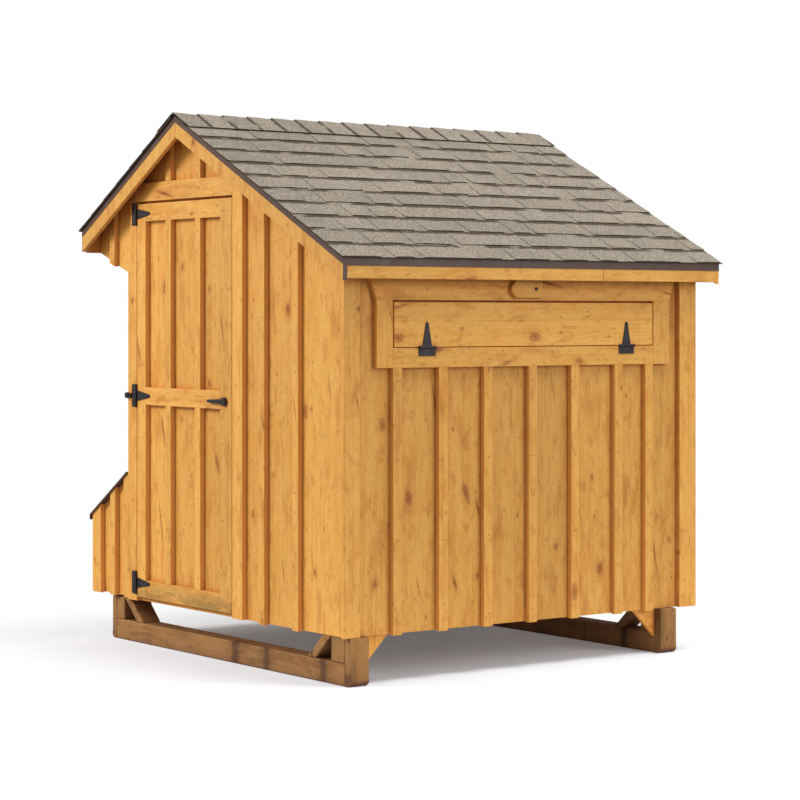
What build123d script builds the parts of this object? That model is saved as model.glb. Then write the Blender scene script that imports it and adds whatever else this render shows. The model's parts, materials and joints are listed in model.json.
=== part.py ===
from build123d import *
from math import cos, radians, sin, tan
import os

# A small board-and-batten animal house on two skids: a walk-in door in the gable end, a drop-down
# vent flap under the eave of one long side, and a nest box with a sloping lid on the other long side.
# Millimetres. +Z is up and z = 0 is the ground. The ridge runs along Y, the door gable faces -Y,
# the vent flap faces +X and the nest box is on the -X side. The origin is on the ground, at the
# centre of the footprint of the whole object.
#
# Places are given from the front corner post: "w" is measured from its outer edge towards -X,
# and "l" is measured from the face of the door gable towards +Y.

# ---- driving dimensions -------------------------------------------------------------------------
HOUSE_W = 1643          # over the trims, across the door gable
HOUSE_L = 1829          # over the trims, along the vent flap side (6 ft)
WALL_BASE_Z = 187       # bottom edge of the siding, and top of the skids
NEST_W = 1959           # w of the nest box's outer trims

BOARD_T = 19            # siding boards
TRIM_T = 22             # battens, corner trims and door frame, on top of the boards
BATTEN_W = 44
BOARD_GAP = 2           # drying gap between boards
STUD_T = 38             # 2x framing timber
STUD_D = 64
GAP = 1                 # working gap between pieces that don't bear on each other

FACE = TRIM_T           # depth from the trim face to the board face
INNER = TRIM_T + BOARD_T  # depth from the trim face to the framing

# Roof: an asymmetric gable. Both slopes are the underside of the roof deck.
APEX_W = 1148
APEX_Z = 2241
HATCH_PITCH = radians(26.57)
NEST_PITCH = radians(30.0)
HATCH_EAVE_W = -78
NEST_EAVE_W = 1945
GABLE_OVERHANG = 60
DECK_T = 15
BARGE_T = 19
BARGE_D = 64
FASCIA_T = 19
FASCIA_H = 64
RAFTER_D = 64
RIDGE_BOARD_D = 91
SHEET_T = 1.5           # drip edge metal
FELT_T = 1
SHINGLE_BUTT_T = 8
SHINGLE_HEAD_T = 3.5
SHINGLE_EXPOSURE = 128
SHINGLE_OVERHANG = 10
RIDGE_CAP_T = 4.5
RIDGE_CAP_LEG = 150
RIDGE_CAP_EXPOSURE = 125

# Flared soffit above the nest side wall.
CORBEL_IN_Z = 1602
CORBEL_OUT_W = NEST_EAVE_W - FASCIA_T
CORBEL_OUT_Z = 1706
CORBEL_DROP = 4         # the gable boards hang a little below the soffit
SOFFIT_T = 9
FLARE_SEAM = 1784       # seam and batten of the gable boards above the flare
FLARE_BATTEN_HANG = 3

# Seams of the gable boards between the corner and the door, and the gable studs behind.
GABLE_SEAMS = (337, 580)
CORNER_TRIM_NEAR, CORNER_TRIM_FAR = 75, 94
GABLE_STUD_W = 386

# Door.
DOOR_W0, DOOR_W1 = 801, 1565
DOOR_Z0, DOOR_Z1 = 204, 1905
DOOR_GAP = 4
RAIL_H = 76
LATCH_STILE_W = 88
HINGE_STILE_W = 72
MID_RAIL_Z = 1038
DOOR_BATTENS = (1067, 1305)
HEADER_H = 80
JAMB_TRIM_W = 76

# Vent flap.
FLAP_L0, FLAP_L1 = 238, 1581
FLAP_Z0, FLAP_Z1 = 1300, 1475
FLAP_T = 20
FLAP_REBATE = 25
VENT_TRIM_H = 78
VENT_STILE_W = 77
VENT_HEADER_Z = 1483

# Nest box.
NEST_Z0 = 196
LID_WALL_Z = 744        # top of the lid where it meets the wall
LID_SLOPE = radians(32.3)
LID_T = 19
LID_COVER_T = 2
LID_OVERHANG = 12
LID_LIP = 7             # how far the cover's ends turn down
NEST_LEDGER_H = 80

# T-hinges: one pattern, with a larger upright leaf on the door than on the vent flap and the lid.
PIN_R = 3
PIN_OFFSET = 6          # pin axis in front of the wood face
KNUCKLE_R = 5.4
LEAF_T = 2.5
DOOR_PLATE = (39, 97)   # width and height of the upright leaf
SMALL_PLATE = (34, 82)  # the same, on the vent flap and the nest box lid
DOOR_STRAP_L, SMALL_STRAP_L = 113, 99
STRAP_BASE_H, STRAP_TIP_H = 46, 14
STRAP_KNUCKLE_H = 31
PLATE_BORE_R = 3.04
STRAP_BORE_R = 3.08
SCREW_R, SCREW_HEAD_R, SCREW_HEAD_T, SCREW_GRIP = 2.0, 4.2, 1.5, 16

# Door handle and latch.
HANDLE_W, HANDLE_Z = 850, 1070
HANDLE_L = 124
SPINDLE_R = 5
SPINDLE_BORE_R = 5.1

# Skids.
SKID_TIMBER = 89
SKID_L = 1829
SKID_END_W = -6         # w of the +X end
SKID_PLATE_T = 38
SKID_TOE_R = 24
SKID_NEAR_BLOCK, SKID_FAR_BLOCK = 92, 66  # leg blocks at the +X and at the -X end
SKID_FRONT_L = 25
SKID_REAR_L = 1623
BRACE_T = 38
BRACE_RUN = 108
BRACE_LEAN = radians(43)
GUSSET = 118

# The whole object's reach past the front corner post's faces, which centres it on the origin.
REACH_POS_X = -HATCH_EAVE_W + SHEET_T + SHINGLE_OVERHANG
REACH_NEG_X = NEST_W + LID_OVERHANG
REACH_NEG_Y = GABLE_OVERHANG + SHEET_T + SHINGLE_OVERHANG
REACH_POS_Y = HOUSE_L + REACH_NEG_Y
CORNER_X = (REACH_NEG_X - REACH_POS_X) / 2
CORNER_Y = (REACH_NEG_Y - REACH_POS_Y) / 2

HATCH_RISE = tan(HATCH_PITCH)
NEST_RISE = tan(NEST_PITCH)
CORBEL_RISE = (CORBEL_OUT_Z - CORBEL_IN_Z) / (CORBEL_OUT_W - HOUSE_W)


# ---- shapes -------------------------------------------------------------------------------------
def block(w0, w1, l0, l1, z0, z1):
    """A timber between two values of w, of l and of z."""
    box = Box(w1 - w0, l1 - l0, z1 - z0, align=(Align.MAX, Align.MIN, Align.MIN))
    return Pos(CORNER_X - w0, CORNER_Y + l0, z0) * box


def section(points, l0, l1):
    """A solid with a profile of (w, z) points that runs from l0 to l1."""
    outline = [Vector(CORNER_X - w, CORNER_Y + l0, z) for w, z in points]
    face = make_face(Polyline(*outline, close=True))
    return extrude(face, amount=l1 - l0, dir=(0, 1, 0))


def side_section(points, w0, w1):
    """A solid with a profile of (l, z) points that runs from w0 to w1."""
    outline = [Vector(CORNER_X - w0, CORNER_Y + l, z) for l, z in points]
    face = make_face(Polyline(*outline, close=True))
    return extrude(face, amount=w1 - w0, dir=(-1, 0, 0))


def roof_z(w):
    """Height of the roof deck's underside."""
    if w <= APEX_W:
        return APEX_Z - (APEX_W - w) * HATCH_RISE
    return APEX_Z - (w - APEX_W) * NEST_RISE


def corbel_z(w):
    """Height of the flared soffit's underside."""
    return CORBEL_IN_Z + (min(w, CORBEL_OUT_W) - HOUSE_W) * CORBEL_RISE


def corbel_edge(w):
    """Lower edge of the gable boards above the flare."""
    return corbel_z(w) - CORBEL_DROP


def lid_z(w):
    """Height of the nest box lid's top face."""
    return LID_WALL_Z - (w - HOUSE_W) * tan(LID_SLOPE)


def roof_band(w0, w1, t0, t1):
    """Profile of a layer along one slope, from t0 to t1 above the deck's underside."""
    pitch = HATCH_PITCH if (w0 + w1) / 2 < APEX_W else NEST_PITCH
    low, high = t0 / cos(pitch), t1 / cos(pitch)
    z0, z1 = roof_z(w0), roof_z(w1)
    return [(w0, z0 + low), (w1, z1 + low), (w1, z1 + high), (w0, z0 + high)]


def under_roof(w0, w1, z0, clear=GAP):
    """Profile of a vertical board whose top is cut to the roof line. z0 may be a function of w."""
    base = z0 if callable(z0) else lambda w: z0
    breaks = [w for w in (HOUSE_W, APEX_W, CORBEL_OUT_W) if w0 < w < w1]
    stations = sorted([w0, w1] + breaks)
    top = [(w, roof_z(w) - clear) for w in stations]
    bottom = [(w, base(w)) for w in reversed(stations)]
    return top + bottom


def boards(edges, cut):
    """Boards between successive edges, with a drying gap, each made by cut(start, end)."""
    made = []
    for a, b in zip(edges, edges[1:]):
        made.append(cut(a + BOARD_GAP / 2, b - BOARD_GAP / 2))
    return made


def batten_span(centre):
    return centre - BATTEN_W / 2, centre + BATTEN_W / 2


def save(name, pieces):
    pieces = pieces if isinstance(pieces, (list, tuple)) else [pieces]
    solids = [s for piece in pieces for s in piece.solids()]
    whole = solids[0] if len(solids) == 1 else Compound(children=solids)
    whole.label = name
    export_step(whole, f"parts/{name}.step")


# ---- skids --------------------------------------------------------------------------------------
def skids():
    """Two skids across the width: a runner, end plates, leg blocks, braces and gussets."""
    runners, blocks, plates, braces, gussets = [], [], [], [], []
    far_end = SKID_END_W + SKID_L
    for l0 in (SKID_FRONT_L, SKID_REAR_L):
        l1 = l0 + SKID_TIMBER
        near, far = SKID_END_W + SKID_PLATE_T, far_end - SKID_PLATE_T
        runners.append(block(near, far, l0, l1, 0, SKID_TIMBER - GAP))
        for end, inward, length in ((SKID_END_W, 1, SKID_NEAR_BLOCK), (far_end, -1, SKID_FAR_BLOCK)):
            plate_in = end + inward * SKID_PLATE_T
            block_in = plate_in + inward * length
            plates.append(rounded_end_plate(end, plate_in, l0, l1))
            low, high = sorted((plate_in, block_in))
            blocks.append(block(low, high, l0, l1, SKID_TIMBER - GAP, WALL_BASE_Z))
            braces.append(brace(block_in, inward, l0, l1))
            gussets.append(gusset(plate_in, inward, l0, l1))
    save("skid_runners", runners)
    save("skid_leg_blocks", blocks)
    save("skid_end_plates", plates)
    save("skid_braces", braces)
    save("skid_gussets", gussets)


def rounded_end_plate(end, inner, l0, l1):
    """The upright plate that closes one end of a skid, with its lower outer edge rounded over."""
    low, high = sorted((end, inner))
    plate = block(low, high, l0, l1, 0, WALL_BASE_Z)
    outer_x = CORNER_X - end
    toe = plate.edges().filter_by(Axis.Y).sort_by(lambda e: abs(e.center().X - outer_x) + e.center().Z)[0]
    return fillet(toe, SKID_TOE_R)


def brace(start, inward, l0, l1):
    """A brace that leans inwards from the top of a leg block down to the runner."""
    z0, z1 = SKID_TIMBER - GAP, WALL_BASE_Z
    width = inward * BRACE_T / sin(BRACE_LEAN)
    run = inward * BRACE_RUN
    points = [(start, z1), (start + width, z1), (start + width + run, z0), (start + run, z0)]
    return section(points, l0, l1)


def gusset(start, inward, l0, l1):
    """A triangular board beside a leg, under the floor frame."""
    towards = 1 if l0 < HOUSE_L / 2 else -1
    root = l1 if towards > 0 else l0
    points = [(root, WALL_BASE_Z), (root + towards * GUSSET, WALL_BASE_Z), (root, WALL_BASE_Z - GUSSET)]
    low, high = sorted((start + inward * 2, start + inward * (2 + BOARD_T)))
    return side_section(points, low, high)


# ---- floor and framing --------------------------------------------------------------------------
FLOOR_TOP_Z = WALL_BASE_Z + STUD_D + DECK_T
PLATE_TOP_Z = FLOOR_TOP_Z + STUD_T
FRAME_W0, FRAME_W1 = INNER, HOUSE_W - INNER
FRAME_L0, FRAME_L1 = INNER, HOUSE_L - INNER
RAFTER_LS = (FRAME_L0, 620, 1171, FRAME_L1 - STUD_T)
HATCH_PLATE_Z = roof_z(INNER) - RAFTER_D / cos(HATCH_PITCH) - GAP
NEST_PLATE_Z = roof_z(FRAME_W1) - RAFTER_D / cos(NEST_PITCH) - GAP
LATCH_STUD_W = 727
CAM_ROOM = 32           # the latch cam turns behind the boards, beside the stud


def floor():
    base, top = WALL_BASE_Z, WALL_BASE_Z + STUD_D
    joists = [
        block(FRAME_W0, FRAME_W0 + STUD_T, FRAME_L0, FRAME_L1, base, top),
        block(FRAME_W1 - STUD_T, FRAME_W1, FRAME_L0, FRAME_L1, base, top),
    ]
    count = 5
    for i in range(count):
        l0 = FRAME_L0 + i * (FRAME_L1 - FRAME_L0 - STUD_T) / (count - 1)
        joists.append(block(FRAME_W0 + STUD_T, FRAME_W1 - STUD_T, l0, l0 + STUD_T, base, top))
    save("floor_joists", joists)
    save("floor_deck", block(FRAME_W0, FRAME_W1, FRAME_L0, FRAME_L1, top, FLOOR_TOP_Z))


def rafter_low(w):
    """Underside of the rafters."""
    pitch = HATCH_PITCH if w <= APEX_W else NEST_PITCH
    return roof_z(w) - RAFTER_D / cos(pitch)


def gable_stud(w0, l0, l1, z0=None):
    """A stud of a gable wall, with its top just under the gable rafter."""
    w1 = min(w0 + STUD_T, FRAME_W1)
    top = min(rafter_low(w0), rafter_low(w1)) - GAP
    return block(w0, w1, l0, l1, PLATE_TOP_Z if z0 is None else z0, top)


def front_frame():
    l0, l1 = FRAME_L0, FRAME_L0 + STUD_D
    latch_edge = LATCH_STUD_W + STUD_T
    hinge_edge = DOOR_W1 + DOOR_GAP
    header_z = DOOR_Z1 + 10
    header_end = APEX_W + (APEX_Z - RAFTER_D / cos(NEST_PITCH) - header_z - STUD_T) / NEST_RISE - GAP
    pieces = [
        block(FRAME_W0, latch_edge, l0, l1, FLOOR_TOP_Z, PLATE_TOP_Z),
        gable_stud(FRAME_W0, l0, l1),
        gable_stud(GABLE_STUD_W, l0, l1),
        gable_stud(LATCH_STUD_W, l0, l1),
        gable_stud(hinge_edge, l0, l1, FLOOR_TOP_Z),
        block(latch_edge, header_end, l0, l0 + STUD_T, header_z, header_z + STUD_T),
        gable_stud(APEX_W - STUD_T - GAP - BOARD_T / 2, l0, l0 + STUD_T, header_z + STUD_T),
    ]
    save("front_wall_frame", pieces)


def rear_frame():
    l0, l1 = FRAME_L1 - STUD_D, FRAME_L1
    pieces = [block(FRAME_W0, FRAME_W1, l0, l1, FLOOR_TOP_Z, PLATE_TOP_Z)]
    for w0 in (FRAME_W0, GABLE_STUD_W, 2 * GABLE_STUD_W, 1180, FRAME_W1 - STUD_T):
        pieces.append(gable_stud(w0, l0, l1))
    save("rear_wall_frame", pieces)


def hatch_frame():
    w0, w1 = FRAME_W0, FRAME_W0 + STUD_D
    l0, l1 = FRAME_L0 + STUD_D, FRAME_L1 - STUD_D
    plate_z0 = HATCH_PLATE_Z - STUD_T
    sill_z0 = FLAP_Z0 - STUD_T
    header_z0 = VENT_HEADER_Z
    side_studs = (FLAP_L0 - 7 - STUD_T, FLAP_L1 + 5)
    pieces = [
        block(w0, w1, l0, l1, FLOOR_TOP_Z, PLATE_TOP_Z),
        block(w0, w1, l0, l1, plate_z0, HATCH_PLATE_Z),
        block(w0, w1, side_studs[0] + STUD_T, side_studs[1], sill_z0, FLAP_Z0),
        block(w0, w1, side_studs[0] + STUD_T, side_studs[1], header_z0, header_z0 + STUD_T),
        block(w0, w1, (l0 + l1 - STUD_T) / 2, (l0 + l1 + STUD_T) / 2, PLATE_TOP_Z, sill_z0),
    ]
    for s in side_studs:
        pieces.append(block(w0, w1, s, s + STUD_T, PLATE_TOP_Z, plate_z0))
    save("hatch_wall_frame", pieces)


NEST_STUDS = (FRAME_L0 + STUD_D, 642, 1149, FRAME_L1 - STUD_D - STUD_T)


def nest_frame():
    w0, w1 = FRAME_W1 - STUD_D, FRAME_W1
    l0, l1 = FRAME_L0 + STUD_D, FRAME_L1 - STUD_D
    plate_z0 = NEST_PLATE_Z - STUD_T
    pieces = [
        block(w0, w1, l0, l1, FLOOR_TOP_Z, PLATE_TOP_Z),
        block(w0, w1, l0, l1, plate_z0, NEST_PLATE_Z),
    ]
    for s in NEST_STUDS:
        pieces.append(block(w0, w1, s, s + STUD_T, PLATE_TOP_Z, plate_z0))
    save("nest_wall_frame", pieces)


def roof_frame():
    half = BOARD_T / 2
    top = min(roof_z(APEX_W - half), roof_z(APEX_W + half)) - GAP
    base = APEX_Z - RIDGE_BOARD_D
    save("ridge_board", block(APEX_W - half, APEX_W + half, FRAME_L0, FRAME_L1, base, top))
    hatch_rafter = roof_band(INNER, APEX_W - half, -RAFTER_D, 0)
    nest_rafter = roof_band(APEX_W + half, NEST_EAVE_W - FASCIA_T, -RAFTER_D, 0)
    rafters = []
    for l0 in RAFTER_LS:
        rafters.append(section(hatch_rafter, l0, l0 + STUD_T))
        rafters.append(section(nest_rafter, l0, l0 + STUD_T))
    save("rafters", rafters)


# ---- siding -------------------------------------------------------------------------------------
def flare_batten(l0, l1):
    a, b = batten_span(FLARE_SEAM)
    return section(under_roof(a, b, lambda w: corbel_edge(w) - FLARE_BATTEN_HANG), l0, l1)


def front_siding():
    l0, l1 = FACE, INNER
    latch_edge = DOOR_W0 - DOOR_GAP
    hinge_edge = DOOR_W1 + DOOR_GAP
    over_door = DOOR_Z1 + 10

    def full(a, b):
        return section(under_roof(a, b, WALL_BASE_Z), l0, l1)

    def above(a, b):
        return section(under_roof(a, b, DOOR_Z1 + 3), l0, l1)

    def flare(a, b):
        return section(under_roof(a, b, corbel_edge), l0, l1)

    pieces = boards([TRIM_T, *GABLE_SEAMS, latch_edge], full)
    pieces += boards([latch_edge, *DOOR_BATTENS, hinge_edge], above)
    pieces += boards([hinge_edge, HOUSE_W - TRIM_T], full)
    pieces += boards([HOUSE_W - TRIM_T, FLARE_SEAM, NEST_EAVE_W - FASCIA_T], flare)
    pieces.append(block(latch_edge, hinge_edge, l0, l1, WALL_BASE_Z, DOOR_Z0 - 6))
    save("front_wall_boards", pieces)

    battens = []
    for centre in GABLE_SEAMS:
        a, b = batten_span(centre)
        battens.append(section(under_roof(a, b, WALL_BASE_Z - 4), 0, TRIM_T))
    for centre in DOOR_BATTENS:
        a, b = batten_span(centre)
        battens.append(section(under_roof(a, b, over_door + HEADER_H), 0, TRIM_T))
    battens.append(flare_batten(0, TRIM_T))
    save("front_wall_battens", battens)

    trims = [
        section(under_roof(latch_edge - JAMB_TRIM_W, latch_edge, WALL_BASE_Z), 0, TRIM_T),
        section(under_roof(hinge_edge, HOUSE_W - TRIM_T, WALL_BASE_Z), 0, TRIM_T),
        block(latch_edge, hinge_edge, 0, TRIM_T, over_door, over_door + HEADER_H),
    ]
    save("door_surround_trims", trims)


def rear_siding():
    l0, l1 = HOUSE_L - INNER, HOUSE_L - FACE
    seams = [TRIM_T + i * (HOUSE_W - 2 * TRIM_T) / 7 for i in range(8)]

    def full(a, b):
        return section(under_roof(a, b, WALL_BASE_Z), l0, l1)

    def flare(a, b):
        return section(under_roof(a, b, corbel_edge), l0, l1)

    pieces = boards(seams, full) + boards([HOUSE_W - TRIM_T, FLARE_SEAM, NEST_EAVE_W - FASCIA_T], flare)
    save("rear_wall_boards", pieces)
    battens = []
    for centre in seams[1:-1]:
        a, b = batten_span(centre)
        battens.append(section(under_roof(a, b, WALL_BASE_Z - 4), HOUSE_L - TRIM_T, HOUSE_L))
    battens.append(flare_batten(HOUSE_L - TRIM_T, HOUSE_L))
    save("rear_wall_battens", battens)


HATCH_SEAMS = (INNER, 254, 477, 702, 932, 1157, 1392, 1563, HOUSE_L - INNER)
VENT_OPENING_L = (FLAP_L0 + FLAP_REBATE, FLAP_L1 - FLAP_REBATE)
VENT_OPENING_Z = (FLAP_Z0 + FLAP_REBATE, FLAP_Z1 - FLAP_REBATE)
HATCH_TOP_Z = roof_z(TRIM_T) - 4


def hatch_siding():
    w0, w1 = FACE, INNER
    wall = boards(HATCH_SEAMS, lambda a, b: block(w0, w1, a, b, WALL_BASE_Z, HATCH_TOP_Z))
    opening = block(w0 - 1, w1 + 1, *VENT_OPENING_L, *VENT_OPENING_Z)
    save("hatch_wall_boards", [board - opening for board in wall])
    low = VENT_STILE_BASE_Z
    battens = []
    for seam in HATCH_SEAMS[1:-1]:
        a, b = batten_span(seam)
        battens.append(block(0, TRIM_T, a, b, WALL_BASE_Z - 4, low))
    save("hatch_wall_battens", battens)


VENT_STILE_BASE_Z = FLAP_Z0 - 3 - VENT_TRIM_H
VENT_STILE_L0 = FLAP_L0 - 7
VENT_STILE_L1 = FLAP_L1 + 5


def vent_surround():
    """Header with slanted ends, two stiles and the lower trim round the vent flap."""
    left = VENT_STILE_L0 - VENT_STILE_W
    right = VENT_STILE_L1 + VENT_STILE_W + 12
    slant = 60
    top = roof_z(0) - 6
    header = [(left, VENT_HEADER_Z), (right, VENT_HEADER_Z), (right + slant, top), (left - slant, top)]
    pieces = [
        side_section(header, 0, TRIM_T),
        block(0, TRIM_T, left, VENT_STILE_L0, VENT_STILE_BASE_Z, VENT_HEADER_Z),
        block(0, TRIM_T, VENT_STILE_L1, right, VENT_STILE_BASE_Z, VENT_HEADER_Z),
        block(0, TRIM_T, VENT_STILE_L0, VENT_STILE_L1, VENT_STILE_BASE_Z, FLAP_Z0 - 3),
    ]
    save("vent_surround_trims", pieces)


def vent_screen():
    """Welded wire behind the vent opening: upright wires against the boards, level wires behind them."""
    wire, pitch, lap = 1.6, 25, 14
    l0, l1 = VENT_OPENING_L[0] - lap, VENT_OPENING_L[1] + lap
    z0, z1 = VENT_OPENING_Z[0] - lap, VENT_OPENING_Z[1] + lap
    wires = []
    for i in range(int((l1 - l0) // pitch) + 1):
        l = l0 + i * pitch
        wires.append(block(INNER, INNER + wire, l, l + wire, z0, z1))
    for i in range(int((z1 - z0) // pitch) + 1):
        z = z0 + i * pitch
        wires.append(block(INNER + wire, INNER + 2 * wire, l0, l1, z, z + wire))
    save("vent_screen", wires)


def corner_trims():
    """One upright trim on each corner of the long sides."""
    near, far = CORNER_TRIM_NEAR, CORNER_TRIM_FAR
    hatch_top = roof_z(0) - GAP
    w0, w1 = HOUSE_W - TRIM_T, HOUSE_W

    def flare_side(lift):
        return [
            (w0, WALL_BASE_Z), (w1, WALL_BASE_Z),
            (w1, corbel_edge(w1) + lift), (w0, corbel_edge(w0) + lift),
        ]

    # on the flare side the outer face laps a little way up over the gable boards
    lap = 13
    pieces = [
        block(0, TRIM_T, 0, near, WALL_BASE_Z, hatch_top),
        block(0, TRIM_T, HOUSE_L - far, HOUSE_L, WALL_BASE_Z, hatch_top),
    ]
    for outer, lap_end, trim_end in (
        (0, FACE, near), (HOUSE_L, HOUSE_L - FACE, HOUSE_L - near),
    ):
        trim = section(flare_side(-GAP), *sorted((outer, trim_end)))
        pieces.append(trim + section(flare_side(lap), *sorted((outer, lap_end))))
    save("corner_trims", pieces)


NEST_ACCESS_L = (130, HOUSE_L - 130)
NEST_ACCESS_Z = (300, 640)


def nest_siding():
    """Boards above and below the opening into the nest box, battens, and the ledger the lid hangs on."""
    w0, w1 = HOUSE_W - INNER, HOUSE_W - FACE
    seams = [INNER + i * (HOUSE_L - 2 * INNER) / 8 for i in range(9)]
    top = corbel_z(w1) + SOFFIT_T  # the boards stand behind the soffit's inner edge
    wall = boards(seams, lambda a, b: block(w0, w1, a, b, WALL_BASE_Z, top))
    opening = block(w0 - 1, w1 + 1, *NEST_ACCESS_L, *NEST_ACCESS_Z)
    save("nest_wall_boards", [board - opening for board in wall])
    face0, face1 = HOUSE_W - TRIM_T, HOUSE_W
    ledger_top = LEDGER_Z0 + NEST_LEDGER_H
    pieces = [block(face0, face1, CORNER_TRIM_NEAR, HOUSE_L - CORNER_TRIM_NEAR, LEDGER_Z0, ledger_top)]
    for seam in seams[1:-1]:
        a, b = batten_span(seam)
        pieces.append(block(face0, face1, a, b, ledger_top, corbel_z(face0) - GAP))
    save("nest_wall_battens", pieces)


def corbel_soffit():
    """The flared soffit: a sloping board from the wall out to the fascia."""
    rise = SOFFIT_T * (1 + CORBEL_RISE ** 2) ** 0.5
    inner, outer = HOUSE_W - TRIM_T, CORBEL_OUT_W
    slope = [
        (inner, corbel_z(inner)), (outer, corbel_z(outer)),
        (outer, corbel_z(outer) + rise), (inner, corbel_z(inner) + rise),
    ]
    save("corbel_soffit", section(slope, INNER, HOUSE_L - INNER))


# ---- roof ---------------------------------------------------------------------------------------
ROOF_L0 = -GABLE_OVERHANG
ROOF_L1 = HOUSE_L + GABLE_OVERHANG


def roof_deck():
    save("roof_deck_hatch_side", section(roof_band(HATCH_EAVE_W, APEX_W, 0, DECK_T), ROOF_L0, ROOF_L1))
    save("roof_deck_nest_side", section(roof_band(APEX_W, NEST_EAVE_W, 0, DECK_T), ROOF_L0, ROOF_L1))


def barge_and_fascia():
    barges = []
    for l0 in (ROOF_L0, ROOF_L1 - BARGE_T):
        barges.append(section(roof_band(HATCH_EAVE_W, APEX_W, -BARGE_D, 0), l0, l0 + BARGE_T))
        barges.append(section(roof_band(APEX_W, NEST_EAVE_W, -BARGE_D, 0), l0, l0 + BARGE_T))
    save("barge_boards", barges)
    l0, l1 = ROOF_L0 + BARGE_T, ROOF_L1 - BARGE_T
    joint = 1240
    hatch_top = roof_z(HATCH_EAVE_W)
    nest_top = roof_z(NEST_EAVE_W)
    w0, w1 = HATCH_EAVE_W, HATCH_EAVE_W + FASCIA_T
    nest_base = CORBEL_OUT_Z - CORBEL_DROP
    fascias = [
        block(w0, w1, l0, joint - GAP / 2, hatch_top - FASCIA_H, hatch_top),
        block(w0, w1, joint + GAP / 2, l1, hatch_top - FASCIA_H, hatch_top),
        block(NEST_EAVE_W - FASCIA_T, NEST_EAVE_W, l0, l1, nest_base, nest_top),
    ]
    save("eave_fascias", fascias)


def drip_edges():
    """Folded metal on all four edges: a flange on the deck and a face that turns down over the trim.

    At the door gable the eave's face runs down over the cut end of the barge board.
    """
    flange, lap = 40, 9
    pieces = []
    for l_face, l_deck in ((ROOF_L0, ROOF_L0 + flange), (ROOF_L1, ROOF_L1 - flange)):
        outward = -SHEET_T if l_deck > l_face else SHEET_T
        for w0, w1 in ((HATCH_EAVE_W, APEX_W), (APEX_W, NEST_EAVE_W)):
            face = section(roof_band(w0, w1, -lap, DECK_T + FELT_T), *sorted((l_face + outward, l_face)))
            deck = section(roof_band(w0, w1, DECK_T, DECK_T + FELT_T), *sorted((l_face, l_deck)))
            pieces.append(face + deck)
    l0, l1 = ROOF_L0 + flange, ROOF_L1 - flange
    for eave, inward in ((HATCH_EAVE_W, 1), (NEST_EAVE_W, -1)):
        pitch = HATCH_PITCH if inward > 0 else NEST_PITCH
        outer = eave - inward * SHEET_T
        sheet = sorted((eave, outer))
        edge_top = roof_z(outer) + (DECK_T + FELT_T) / cos(pitch)
        face = block(*sheet, ROOF_L0, ROOF_L1, roof_z(eave) - 16, edge_top)
        deck = section(roof_band(*sorted((eave, eave + inward * flange)), DECK_T, DECK_T + FELT_T), l0, l1)
        barge_z = roof_z(eave) - BARGE_D / cos(pitch)
        over_barge = block(*sheet, ROOF_L0, ROOF_L0 + BARGE_T, barge_z, edge_top)
        pieces.append(face + deck + over_barge)
    save("drip_edges", pieces)


def shingle_course(eave, start, length, pitch, uphill, l0, l1):
    """One course: thick at its lower edge, thin where the next course laps it."""
    low = DECK_T + FELT_T
    butt, head = low + SHINGLE_BUTT_T, low + SHINGLE_HEAD_T

    def at(s, t):
        w = eave + uphill * s * cos(pitch) - uphill * t * sin(pitch)
        return w, roof_z(eave) + s * sin(pitch) + t * cos(pitch)

    points = [at(start, low), at(start + length, low), at(start + length, head), at(start, butt)]
    return section(points, l0, l1)


SHINGLE_L0 = ROOF_L0 - SHEET_T - SHINGLE_OVERHANG
SHINGLE_L1 = ROOF_L1 + SHEET_T + SHINGLE_OVERHANG


def shingles():
    for name, eave, pitch, uphill in (
        ("shingles_hatch_side", HATCH_EAVE_W, HATCH_PITCH, 1),
        ("shingles_nest_side", NEST_EAVE_W, NEST_PITCH, -1),
    ):
        slope = abs(APEX_W - eave) / cos(pitch)
        lip = (SHEET_T + SHINGLE_OVERHANG) / cos(pitch) - (DECK_T + FELT_T + SHINGLE_BUTT_T) * tan(pitch)
        top = slope - 12
        courses = []
        start = -lip
        while start < top - 20:
            length = min(SHINGLE_EXPOSURE, top - start)
            courses.append(shingle_course(eave, start, length, pitch, uphill, SHINGLE_L0, SHINGLE_L1))
            start += SHINGLE_EXPOSURE
        save(name, courses)


def ridge_caps():
    """Folded caps over the ridge, one behind another."""
    base = DECK_T + FELT_T + SHINGLE_BUTT_T + 0.5
    top = base + RIDGE_CAP_T

    def line(t):
        hatch_t, nest_t = t / cos(HATCH_PITCH), t / cos(NEST_PITCH)
        # the two slopes' offset planes meet slightly off the apex, because their pitches differ
        shift = (hatch_t - nest_t) / (HATCH_RISE + NEST_RISE)
        peak = (APEX_W - shift, APEX_Z + nest_t + shift * NEST_RISE)
        hatch_end = APEX_W - RIDGE_CAP_LEG * cos(HATCH_PITCH)
        nest_end = APEX_W + RIDGE_CAP_LEG * cos(NEST_PITCH)
        return (hatch_end, roof_z(hatch_end) + hatch_t), peak, (nest_end, roof_z(nest_end) + nest_t)

    outline = list(line(base)) + list(reversed(line(top)))
    total = SHINGLE_L1 - SHINGLE_L0
    count = round(total / RIDGE_CAP_EXPOSURE)
    step = total / count
    caps = []
    for i in range(count):
        l0 = SHINGLE_L0 + i * step
        caps.append(section(outline, l0, l0 + step - (0.5 if i < count - 1 else 0)))
    save("ridge_caps", caps)


# ---- nest box -----------------------------------------------------------------------------------
LID_UNDER = (LID_T + LID_COVER_T + GAP) / cos(LID_SLOPE)
COVER_UNDER = (LID_COVER_T + GAP) / cos(LID_SLOPE)
LEDGER_Z0 = LID_WALL_Z + 4
NEST_BOARD_W1 = NEST_W - TRIM_T
NEST_BOARD_W0 = NEST_W - INNER


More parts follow.
